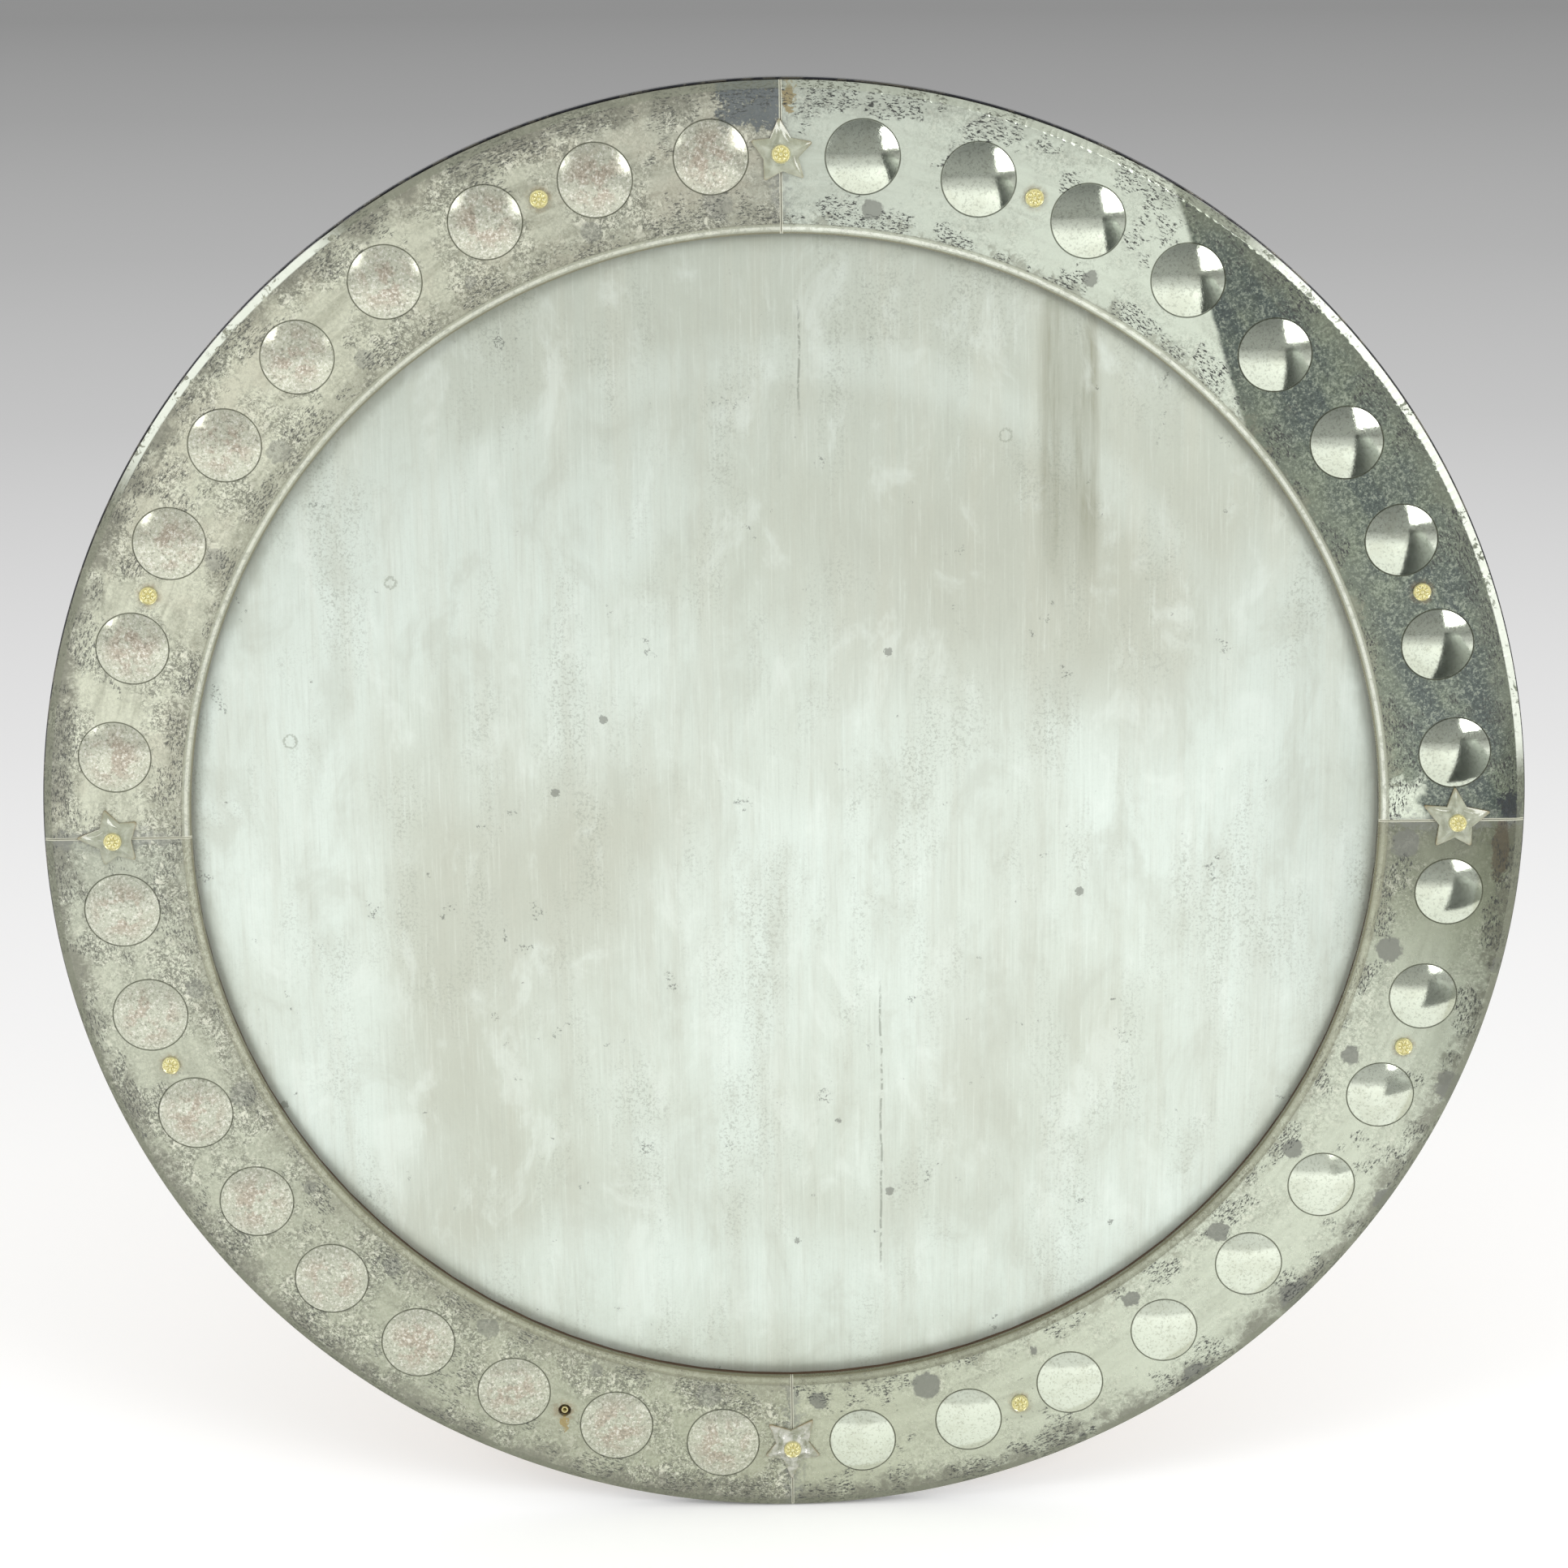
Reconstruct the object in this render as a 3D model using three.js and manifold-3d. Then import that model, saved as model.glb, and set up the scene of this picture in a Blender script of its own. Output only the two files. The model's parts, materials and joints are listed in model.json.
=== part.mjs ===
// Round bordered mirror. A domed mirror plate is trapped behind a border of four quarters of
// mirror glass, each with nine raised round lenses. Brass caps with a threaded stud hold the
// glass and four glass stars to a wooden ring, and two D-rings at the back hang the mirror.
//
// Millimetres, +Z up. The mirror faces -Y, and the origin is the middle of the back board's
// rear face. A clock angle is in degrees from the top, clockwise as seen from the front.

import * as THREE from "three";
import { mergeVertices } from "three/addons/utils/BufferGeometryUtils.js";
import Module from "manifold-3d";

// Driving dimensions

// Whole mirror and its rim band
const overallRadius = 525;
const bandThickness = 1.2;
const bandGap = 0.3;
const bandSetback = 1;

// Back board and the ring that carries the glass
const boardInset = 25;
const boardThickness = 9;
const formerThickness = 13;
const lipSetback = 1;
const lipClearance = 0.3;

// Domed plate and its packing. The plate's edge is trapped behind the ring's lip.
const plateTrap = 8.5;
const plateThickness = 4;
const plateRise = 25;
const plateEdgeClearance = 2;
const packingThickness = 2;
const packingWidth = 14;

// Border glass
const borderWidth = 103;
const glassReveal = 1.5;
const glassThickness = 5;
const seamGap = 1;
const innerBevelWidth = 6.5;
const innerBevelDepth = 2;
const outerBevelWidth = 9;
const outerBevelDepth = 2.2;

// Raised lenses: each quarter was cut by hand, so each has its own lens diameter and its own
// angles from its two seams to its first and last lens
const lensesPerQuarter = 9;
const lensInset = 48.5;
const lensRise = 4.5;
const lensRoot = 1.5;

const quarters = [
  { name: "top_right", right: 1, up: 1, firstLens: 6.7, lastLens: 6, lensDiameter: 50.2 },
  { name: "bottom_right", right: 1, up: -1, firstLens: 6.4, lastLens: 6.3, lensDiameter: 47.9 },
  { name: "bottom_left", right: -1, up: -1, firstLens: 6.2, lastLens: 6.4, lensDiameter: 52.7 },
  { name: "top_left", right: -1, up: 1, firstLens: 7.2, lastLens: 5.7, lensDiameter: 50.1 },
];

// Two caps stand in each quarter, in the gaps after these lenses
const capAfterLens = [2, 7];
const lostCap = "bottom_left_1";

// Brass caps, the studs under them and the threaded sockets that take the studs
const capDiameter = 12.7;
const capHeight = 3.4;
const capRimHeight = 1.6;
const capRimWidth = 1.1;
const capHollowDepth = 0.5;
const capSeatGap = 0.3;
const studDiameter = 2.2;
const studGrip = 6;
const studRunout = 1;
const socketDiameter = 5;
const socketBoreDiameter = 3;
const socketRecess = 1;
const socketBite = 9;
const socketClearance = 0.3;
const glassHoleDiameter = 9.4;

// Glass stars: each was shaped by hand, so each arm has its own direction and length
const starNotchRadius = 10;
const starTipHeight = 1.4;
const starNotchHeight = 2.2;
const starHeight = 6.5;
const starSeatRadius = 7;
const starHoleDiameter = 4;
const starSeatGap = 0.3;

const stars = [
  { name: "top", pointsTo: [-3, 72, 138, 211, 293], armLengths: [24.3, 23.2, 23.7, 22.2, 22.4] },
  { name: "right", pointsTo: [-4, 76, 149, 217, 296], armLengths: [25.3, 25.9, 22.6, 23.7, 26.9] },
  { name: "bottom", pointsTo: [37, 113, 181, 248, 315], armLengths: [26.4, 23, 27.8, 22.1, 25.1] },
  { name: "left", pointsTo: [-15, 53, 137, 202, 272], armLengths: [22.9, 21.3, 21.6, 21, 27.1] },
];

// Countersunk wood screws
const screwShankDiameter = 3.8;
const screwHeadDiameter = 8;
const screwHeadHeight = 2.4;
const screwPointLength = 4;
const screwBite = 8;
const screwClearance = 0.3;
const slotWidth = 1;
const slotDepth = 0.9;

const boardScrewCount = 8;
const boardScrewInset = 15;

// Wall bumpers
const bumperCount = 4;
const bumperDiameter = 30;
const bumperThickness = 11;
const bumperChamfer = 1.5;
const bumperInset = 32;

// Strap hangers and their D-rings
const hangerSideInset = 125;
const hangerHeight = 275;
const strapWidth = 20;
const strapThickness = 2;
const strapLength = 56;
const strapScrewFirst = 16;
const strapScrewEnd = 11;
const wireDiameter = 5;
const eyeClearance = 0.4;
const ringInnerWidth = 25;
const ringLength = 34;
const ringCornerRadius = 4;
const ringButtGap = 0.6;

// Facet counts
const ringSides = 80;
const plateSides = 60;
const plateSteps = 5;
const lensSides = 16;
const lensSteps = 3;
const smallSides = 12;
const socketSides = 8;
const bumperSides = 16;
const wireSides = 8;
const wireSteps = 32;
const eyeSteps = 6;

// Depths along Y that the pieces share, from the back board's rear face forwards
const boardFront = -boardThickness;
const formerFront = boardFront - formerThickness;
const glassFront = formerFront - glassThickness;
const plateRearEdge = boardFront - packingThickness;
const plateFrontEdge = plateRearEdge - plateThickness;

// Radii that the pieces share
const boardRadius = overallRadius - boardInset;
const formerRadius = overallRadius - bandThickness - bandGap;
const glassOuterRadius = overallRadius - glassReveal;
const glassInnerRadius = glassOuterRadius - borderWidth;
const lensCircleRadius = glassOuterRadius - lensInset;
const lipRadius = glassInnerRadius + lipSetback;
const plateRadius = lipRadius + plateTrap;
const rebateRadius = plateRadius + plateEdgeClearance;

const fullTurn = 360;
const quarterTurn = fullTurn / 4;
const radians = THREE.MathUtils.degToRad;

// Solids and booleans

const wasm = await Module();
wasm.setup();

function welded(geometry) {
  geometry.deleteAttribute("normal");
  geometry.deleteAttribute("uv");
  return mergeVertices(geometry);
}

function solid(geometry) {
  const closed = welded(geometry);
  return new wasm.Manifold(
    new wasm.Mesh({
      numProp: 3,
      vertProperties: new Float32Array(closed.attributes.position.array),
      triVerts: new Uint32Array(closed.index.array),
    })
  );
}

function geometryOf(shape) {
  const mesh = shape.getMesh();
  const geometry = new THREE.BufferGeometry();
  geometry.setAttribute("position", new THREE.BufferAttribute(mesh.vertProperties, 3));
  geometry.setIndex(new THREE.BufferAttribute(mesh.triVerts, 1));
  const faceted = geometry.toNonIndexed();
  faceted.computeVertexNormals();
  return faceted;
}

// A profile is a list of [radius, depth along Y], anticlockwise, turned about the Y axis
function turned(profile, sides) {
  const points = profile.map(([radius, y]) => new THREE.Vector2(radius, y));
  return new THREE.LatheGeometry(points, sides);
}

function turnedRing(profile, sides) {
  return turned([...profile, profile[0]], sides);
}

function box(width, depth, height) {
  return new THREE.BoxGeometry(width, depth, height);
}

function atClock(clock, radius, y) {
  const angle = radians(clock);
  return new THREE.Vector3(radius * Math.sin(angle), y, radius * Math.cos(angle));
}

function placed(geometry, position) {
  return geometry.translate(position.x, position.y, position.z);
}

function cutAll(body, tools) {
  let result = body;
  for (const tool of tools) {
    result = result.subtract(solid(tool));
  }
  return result;
}

// Materials

function finish(color, roughness, metalness) {
  return () => new THREE.MeshStandardMaterial({ color, roughness, metalness });
}

const plywood = finish("#8a6a47", 0.75, 0);
const stainedWood = finish("#4a3a2a", 0.7, 0);
const felt = finish("#2c2c2a", 0.95, 0);
const darkRubber = finish("#3a3a3a", 0.85, 0);
const blackedMetal = finish("#2a2b30", 0.35, 0.6);
const plateSilver = finish("#d6ddd6", 0.25, 0.9);
const warmSilver = finish("#b4b3a1", 0.3, 0.85);
const paleSilver = finish("#c3cbb9", 0.25, 0.85);
const clearGlass = finish("#d8d0c0", 0.15, 0);
const brass = finish("#d2b45a", 0.3, 0.9);
const steel = finish("#8f9296", 0.35, 0.9);

const mirror = new THREE.Group();

function add(name, geometry, material, position = new THREE.Vector3()) {
  const mesh = new THREE.Mesh(geometry, material());
  mesh.name = name;
  mesh.position.copy(position);
  mirror.add(mesh);
  return mesh;
}

// Where things stand

const plateSphereRadius = (plateRadius ** 2 + plateRise ** 2) / (2 * plateRise);

// How far the plate's surface has risen at a radius, above its edge
function plateRiseAt(radius) {
  return Math.sqrt(plateSphereRadius ** 2 - radius ** 2) - (plateSphereRadius - plateRise);
}

// The quarters follow each other clockwise from the top, and so do the stars over their seams
function seamClock(index) {
  return index * quarterTurn;
}

function lensClock(quarter, index) {
  const pitch = (quarterTurn - quarter.firstLens - quarter.lastLens) / (lensesPerQuarter - 1);
  return seamClock(quarters.indexOf(quarter)) + quarter.firstLens + index * pitch;
}

const gapFixings = quarters.flatMap((quarter) =>
  capAfterLens.map((lenses, index) => ({
    name: `${quarter.name}_${index + 1}`,
    clock: (lensClock(quarter, lenses - 1) + lensClock(quarter, lenses)) / 2,
    underCap: 0,
  }))
);
const starFixings = stars.map((star, index) => ({
  name: `star_${star.name}`,
  clock: seamClock(index),
  underCap: starSeatGap + starHeight,
}));
const fixings = [...gapFixings, ...starFixings];

const socketBoreDepth = studGrip + studRunout;
const socketFront = glassFront + socketRecess;
const socketRear = formerFront + socketBite;

const boardScrewRadius = boardRadius - boardScrewInset;
const boardScrewClocks = Array.from(
  { length: boardScrewCount },
  (_, index) => ((index + 0.5) * fullTurn) / boardScrewCount
);

const bumperClocks = Array.from(
  { length: bumperCount },
  (_, index) => ((index + 0.5) * fullTurn) / bumperCount
);

const wireRadius = wireDiameter / 2;
const eyeInnerRadius = wireRadius + eyeClearance;
const eyeOuterRadius = eyeInnerRadius + strapThickness;
const hangers = [
  { name: "left", x: hangerSideInset - overallRadius },
  { name: "right", x: overallRadius - hangerSideInset },
];
const strapScrewDrops = [strapScrewFirst, strapLength - strapScrewEnd];

// Countersunk screw, head flush with headY and its point towards the front
function screwProfile(headY, tipY, clearance) {
  const shankRadius = screwShankDiameter / 2 + clearance;
  const headRadius = screwHeadDiameter / 2 + clearance;
  return [
    [0, tipY - clearance],
    [shankRadius, tipY + screwPointLength],
    [shankRadius, headY - screwHeadHeight],
    [headRadius, headY],
    [0, headY],
  ];
}

function screwBody(headY, tipY) {
  const body = solid(turned(screwProfile(headY, tipY, 0), smallSides));
  const slot = box(screwHeadDiameter + slotWidth, 2 * slotDepth, slotWidth);
  return body.subtract(solid(slot.translate(0, headY, 0)));
}

function screwHole(headY, tipY, position) {
  return placed(turned(screwProfile(headY, tipY, screwClearance), smallSides), position);
}

const screwTip = boardFront - screwBite;
const boardScrewHoles = () =>
  boardScrewClocks.map((clock) => screwHole(0, screwTip, atClock(clock, boardScrewRadius, 0)));
const strapScrewHoles = () =>
  hangers.flatMap((hanger) =>
    strapScrewDrops.map((drop) =>
      screwHole(
        strapThickness,
        screwTip,
        new THREE.Vector3(hanger.x, 0, hangerHeight - drop)
      )
    )
  );

// Back board, former, packing and rim band

function makeBackBoard() {
  const profile = [[0, boardFront], [boardRadius, boardFront], [boardRadius, 0], [0, 0]];
  const disc = solid(turned(profile, ringSides));
  return geometryOf(cutAll(disc, [...boardScrewHoles(), ...strapScrewHoles()]));
}

function makeFormer() {
  const lipRear = plateFrontEdge - plateRiseAt(lipRadius) - lipClearance;
  const profile = [
    [lipRadius, formerFront],
    [formerRadius, formerFront],
    [formerRadius, boardFront],
    [rebateRadius, boardFront],
    [rebateRadius, lipRear],
    [lipRadius, lipRear],
  ];
  const holeRadius = socketDiameter / 2 + socketClearance;
  const holeDepth = socketBite + socketClearance;
  const socketHoles = fixings.map((fixing) =>
    placed(
      new THREE.CylinderGeometry(holeRadius, holeRadius, 2 * holeDepth, socketSides),
      atClock(fixing.clock, lensCircleRadius, formerFront)
    )
  );
  const ring = solid(turnedRing(profile, ringSides));
  return geometryOf(cutAll(ring, [...socketHoles, ...boardScrewHoles(), ...strapScrewHoles()]));
}

function makePackingRing() {
  const inner = plateRadius - packingWidth;
  const profile = [
    [inner, plateRearEdge],
    [plateRadius, plateRearEdge],
    [plateRadius, boardFront],
    [inner, boardFront],
  ];
  return turnedRing(profile, plateSides);
}

function makeRimBand() {
  const inner = overallRadius - bandThickness;
  const front = formerFront + bandSetback;
  const profile = [[inner, front], [overallRadius, front], [overallRadius, boardFront], [inner, boardFront]];
  return turnedRing(profile, ringSides);
}

// Domed plate

function makePlate() {
  const radii = Array.from({ length: plateSteps + 1 }, (_, step) => (plateRadius * step) / plateSteps);
  const front = radii.map((radius) => [radius, plateFrontEdge - plateRiseAt(radius)]);
  const rear = radii.map((radius) => [radius, plateRearEdge - plateRiseAt(radius)]);
  return turned([...front, ...rear.reverse()], plateSides);
}

// Border glass: one quarter with its lenses, bevels and holes

function lensGeometry(diameter) {
  const radius = diameter / 2;
  const sphereRadius = (radius ** 2 + lensRise ** 2) / (2 * lensRise);
  const edgeAngle = Math.asin(radius / sphereRadius);
  const cap = Array.from({ length: lensSteps + 1 }, (_, step) => {
    const angle = (edgeAngle * step) / lensSteps;
    return [sphereRadius * Math.sin(angle), sphereRadius - lensRise - sphereRadius * Math.cos(angle)];
  });
  return turned([...cap, [radius, lensRoot], [0, lensRoot]], lensSides);
}

function makeGlassQuarter(quarter) {
  const profile = [
    [glassInnerRadius, glassFront + innerBevelDepth],
    [glassInnerRadius + innerBevelWidth, glassFront],
    [glassOuterRadius - outerBevelWidth, glassFront],
    [glassOuterRadius, glassFront + outerBevelDepth],
    [glassOuterRadius, formerFront],
    [glassInnerRadius, formerFront],
  ];
  const reach = 2 * overallRadius;
  const middle = (reach + seamGap) / 2;
  const quadrant = box(reach, reach, reach).translate(quarter.right * middle, 0, quarter.up * middle);
  let glass = solid(turnedRing(profile, ringSides)).intersect(solid(quadrant));
  for (let index = 0; index < lensesPerQuarter; index += 1) {
    const centre = atClock(lensClock(quarter, index), lensCircleRadius, glassFront);
    glass = glass.add(solid(placed(lensGeometry(quarter.lensDiameter), centre)));
  }
  const holeRadius = glassHoleDiameter / 2;
  const holes = fixings.map((fixing) =>
    placed(
      new THREE.CylinderGeometry(holeRadius, holeRadius, 4 * glassThickness, smallSides),
      atClock(fixing.clock, lensCircleRadius, glassFront)
    )
  );
  return geometryOf(cutAll(glass, holes));
}

// Glass star: tips and notches rise to a flat seat round its hole

function makeStar(star) {
  const rear = 0;
  const holeRadius = starHoleDiameter / 2;
  const arms = star.pointsTo.length;
  const corners = 2 * arms;
  const positions = [];
  function addLoop(tipRadii, notchRadius, tipY, notchY) {
    star.pointsTo.forEach((direction, arm) => {
      const nextDirection = star.pointsTo[(arm + 1) % arms] + (arm + 1 < arms ? 0 : fullTurn);
      const tip = atClock(direction, tipRadii[arm], tipY);
      const notch = atClock((direction + nextDirection) / 2, notchRadius, notchY);
      positions.push(...tip.toArray(), ...notch.toArray());
    });
  }
  const allAt = (radius) => star.pointsTo.map(() => radius);
  addLoop(allAt(holeRadius), holeRadius, rear, rear);
  addLoop(star.armLengths, starNotchRadius, rear, rear);
  addLoop(star.armLengths, starNotchRadius, -starTipHeight, -starNotchHeight);
  addLoop(allAt(starSeatRadius), starSeatRadius, -starHeight, -starHeight);
  addLoop(allAt(holeRadius), holeRadius, -starHeight, -starHeight);
  const loops = positions.length / (3 * corners);
  const index = [];
  for (let loop = 0; loop < loops; loop += 1) {
    const nextLoop = (loop + 1) % loops;
    for (let corner = 0; corner < corners; corner += 1) {
      const nextCorner = (corner + 1) % corners;
      const a = loop * corners + corner;
      const b = loop * corners + nextCorner;
      const c = nextLoop * corners + nextCorner;
      const d = nextLoop * corners + corner;
      index.push(a, c, b, a, d, c);
    }
  }
  const geometry = new THREE.BufferGeometry();
  geometry.setAttribute("position", new THREE.Float32BufferAttribute(positions, 3));
  geometry.setIndex(index);
  const faceted = geometry.toNonIndexed();
  faceted.computeVertexNormals();
  return faceted;
}

// Brass cap with its stud, and the socket that takes it. Y is 0 at the cap's seat.

function makeCap(underCap) {
  const radius = capDiameter / 2;
  const studRadius = studDiameter / 2;
  const studTip = capSeatGap + underCap + socketRecess + studGrip;
  const hollowRadius = radius - capRimWidth;
  const hollowY = -capRimHeight + capHollowDepth;
  const bossRadius = radius / 2;
  const profile = [
    [0, -capHeight],
    [bossRadius, -capRimHeight],
    [hollowRadius, hollowY],
    [radius, -capRimHeight],
    [radius, 0],
    [studRadius, 0],
    [studRadius, studTip],
    [0, studTip],
  ];
  return turned(profile, smallSides);
}

function makeSocket() {
  const outer = socketDiameter / 2;
  const bore = socketBoreDiameter / 2;
  const profile = [
    [bore, socketFront],
    [outer, socketFront],
    [outer, socketRear],
    [0, socketRear],
    [0, socketFront + socketBoreDepth],
    [bore, socketFront + socketBoreDepth],
    [bore, socketFront],
  ];
  return turned(profile, socketSides);
}

// Wall bumper, flat on the board's rear face

function makeBumper() {
  const radius = bumperDiameter / 2;
  const profile = [
    [0, 0],
    [radius, 0],
    [radius, bumperThickness - bumperChamfer],
    [radius - bumperChamfer, bumperThickness],
    [0, bumperThickness],
  ];
  return turned(profile, bumperSides);
}

// Strap hanger: a flat strap whose upper end rolls into an eye. Its origin is the eye's axis.

function makeStrap() {
  const outline = new THREE.Shape();
  const boardY = -eyeOuterRadius;
  const strapY = boardY + strapThickness;
  const meetZ = -Math.sqrt(eyeOuterRadius ** 2 - strapY ** 2);
  outline.moveTo(boardY, -strapLength);
  outline.lineTo(strapY, -strapLength);
  outline.lineTo(strapY, meetZ);
  outline.absarc(0, 0, eyeOuterRadius, Math.atan2(meetZ, strapY), Math.PI, false);
  outline.closePath();
  const eye = new THREE.Path();
  eye.absarc(0, 0, eyeInnerRadius, 0, 2 * Math.PI, true);
  outline.holes.push(eye);
  const rolled = new THREE.ExtrudeGeometry(outline, {
    depth: strapWidth,
    bevelEnabled: false,
    curveSegments: 2 * eyeSteps,
  });
  rolled.translate(0, 0, -strapWidth / 2);
  const sideways = new THREE.Matrix4().makeBasis(
    new THREE.Vector3(0, 1, 0),
    new THREE.Vector3(0, 0, 1),
    new THREE.Vector3(1, 0, 0)
  );
  rolled.applyMatrix4(sideways);

  // The strap's lower end is round in plan
  const plan = new THREE.Shape();
  const half = strapWidth / 2;
  const planTop = 2 * eyeOuterRadius;
  plan.moveTo(-half, planTop);
  plan.lineTo(-half, half - strapLength);
  plan.absarc(0, half - strapLength, half, Math.PI, 2 * Math.PI, false);
  plan.lineTo(half, planTop);
  plan.closePath();
  const planDepth = 4 * eyeOuterRadius;
  const rounded = new THREE.ExtrudeGeometry(plan, {
    depth: planDepth,
    bevelEnabled: false,
    curveSegments: eyeSteps,
  });
  rounded.translate(0, 0, -planDepth / 2);
  rounded.rotateX(Math.PI / 2);

  const holes = strapScrewDrops.map((drop) =>
    screwHole(strapY, screwTip, new THREE.Vector3(0, 0, -drop))
  );
  return geometryOf(cutAll(solid(rolled).intersect(solid(rounded)), holes));
}

// D-ring: one length of wire bent round, its ends meeting in the eye. It hangs from its bar.

function makeHangingRing() {
  const half = ringInnerWidth / 2 + wireRadius;
  const corner = ringCornerRadius;
  const roundCentre = half - ringLength;
  const outline = new THREE.Path();
  outline.moveTo(ringButtGap / 2, 0);
  outline.lineTo(half - corner, 0);
  outline.absarc(half - corner, -corner, corner, Math.PI / 2, 0, true);
  outline.lineTo(half, roundCentre);
  outline.absarc(0, roundCentre, half, 0, -Math.PI, true);
  outline.lineTo(-half, -corner);
  outline.absarc(-half + corner, -corner, corner, Math.PI, Math.PI / 2, true);
  outline.lineTo(-ringButtGap / 2, 0);
  const route = outline.getSpacedPoints(wireSteps).map((point) => new THREE.Vector3(point.x, 0, point.y));
  const section = new THREE.Shape();
  section.absarc(0, 0, wireRadius, 0, 2 * Math.PI, false);
  const path = new THREE.CatmullRomCurve3(route, false, "centripetal");
  return new THREE.ExtrudeGeometry(section, {
    steps: wireSteps,
    curveSegments: wireSides / 2,
    bevelEnabled: false,
    extrudePath: path,
  });
}

// Assembly

add("back_board", makeBackBoard(), plywood);
add("ring_former", makeFormer(), stainedWood);
add("packing_ring", makePackingRing(), felt);
add("rim_band", makeRimBand(), blackedMetal);
add("plate_mirror", makePlate(), plateSilver);

for (const quarter of quarters) {
  const silver = quarter.right > 0 ? paleSilver : warmSilver;
  add(`glass_${quarter.name}`, makeGlassQuarter(quarter), silver);
}

stars.forEach((star, index) => {
  const seat = atClock(seamClock(index), lensCircleRadius, glassFront - starSeatGap);
  add(`star_${star.name}`, makeStar(star), clearGlass, seat);
});

for (const fixing of fixings) {
  add(`socket_${fixing.name}`, makeSocket(), brass, atClock(fixing.clock, lensCircleRadius, 0));
  if (fixing.name !== lostCap) {
    const seat = glassFront - fixing.underCap - capSeatGap;
    add(`cap_${fixing.name}`, makeCap(fixing.underCap), brass, atClock(fixing.clock, lensCircleRadius, seat));
  }
}

boardScrewClocks.forEach((clock, index) => {
  const geometry = geometryOf(screwBody(0, screwTip));
  add(`board_screw_${index + 1}`, geometry, steel, atClock(clock, boardScrewRadius, 0));
});

bumperClocks.forEach((clock, index) => {
  add(`bumper_${index + 1}`, makeBumper(), darkRubber, atClock(clock, boardRadius - bumperInset, 0));
});

for (const hanger of hangers) {
  const eye = new THREE.Vector3(hanger.x, eyeOuterRadius, hangerHeight);
  add(`strap_${hanger.name}`, makeStrap(), steel, eye);
  add(`hanging_ring_${hanger.name}`, makeHangingRing(), steel, eye);
  strapScrewDrops.forEach((drop, index) => {
    const head = new THREE.Vector3(hanger.x, 0, hangerHeight - drop);
    const geometry = geometryOf(screwBody(strapThickness, screwTip));
    add(`strap_screw_${hanger.name}_${index + 1}`, geometry, steel, head);
  });
}

export default mirror;
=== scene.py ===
import json
import math
import random

import bmesh
import bpy
from mathutils import Matrix, Vector
from mathutils.geometry import delaunay_2d_cdt


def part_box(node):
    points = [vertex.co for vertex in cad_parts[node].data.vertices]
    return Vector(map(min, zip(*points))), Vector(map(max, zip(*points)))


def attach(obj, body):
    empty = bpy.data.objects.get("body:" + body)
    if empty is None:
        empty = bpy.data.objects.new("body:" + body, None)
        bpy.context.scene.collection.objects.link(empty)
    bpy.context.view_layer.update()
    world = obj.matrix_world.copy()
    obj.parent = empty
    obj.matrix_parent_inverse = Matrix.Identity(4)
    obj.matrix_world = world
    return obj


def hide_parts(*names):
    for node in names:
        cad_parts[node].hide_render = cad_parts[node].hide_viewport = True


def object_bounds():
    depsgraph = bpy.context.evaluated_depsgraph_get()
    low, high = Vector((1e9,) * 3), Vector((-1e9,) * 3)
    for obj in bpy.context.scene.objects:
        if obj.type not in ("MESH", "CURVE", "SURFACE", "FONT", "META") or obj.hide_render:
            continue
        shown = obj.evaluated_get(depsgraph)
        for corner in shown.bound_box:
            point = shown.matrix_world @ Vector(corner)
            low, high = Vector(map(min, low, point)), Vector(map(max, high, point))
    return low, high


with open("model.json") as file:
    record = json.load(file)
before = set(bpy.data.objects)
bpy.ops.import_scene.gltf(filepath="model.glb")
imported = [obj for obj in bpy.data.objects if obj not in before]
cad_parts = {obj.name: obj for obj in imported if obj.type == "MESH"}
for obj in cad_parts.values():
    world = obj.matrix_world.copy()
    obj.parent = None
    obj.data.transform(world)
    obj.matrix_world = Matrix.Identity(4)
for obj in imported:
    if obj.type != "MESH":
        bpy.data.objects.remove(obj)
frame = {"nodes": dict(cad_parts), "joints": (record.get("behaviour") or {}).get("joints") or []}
frame_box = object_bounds()

bl_info = {
    "name": "Bordered round mirror",
    "version": (1, 0, 0),
    "blender": (4, 5, 0),
    "location": "3D View > Sidebar > Mirror",
    "description": "Builds the looks of a round mirror with a border of lensed glass quarters",
    "category": "Object",
}

# The mirror faces -Y, and a clock angle is in degrees from the top, clockwise from the front.
# Lengths are in metres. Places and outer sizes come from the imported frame.

MM = 0.001
FULL_TURN = 360.0
QUARTER_TURN = 90.0
BODY = "mirror"
PANEL_TAB = "Mirror"

former_low, former_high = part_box("ring_former")
band_low, band_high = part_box("rim_band")
plate_low, plate_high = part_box("plate_mirror")
board_low, board_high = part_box("back_board")

RIM_RADIUS = band_high.x
FORMER_FRONT = former_low.y
BOARD_FRONT = board_low.y
BOARD_REAR = board_high.y
PLATE_RADIUS = plate_high.x
PLATE_REAR_EDGE = plate_high.y
FIXING_RADIUS = sum(corner.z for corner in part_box("cap_star_top")) / 2


# Border quarters in clockwise order. Each was cut by hand, so each has its own angles from its
# seams to its first and last lens, and its own lens diameter.
QUARTERS = {
    "top_right": {"first": 6.7, "last": 6.0, "lens": 50.2 * MM},
    "bottom_right": {"first": 6.4, "last": 6.3, "lens": 47.9 * MM},
    "bottom_left": {"first": 6.2, "last": 6.4, "lens": 52.7 * MM},
    "top_left": {"first": 7.2, "last": 5.7, "lens": 50.1 * MM},
}
QUARTER_NAMES = list(QUARTERS)
LENSES = 9
CAP_AFTER_LENS = (2, 7)

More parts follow.
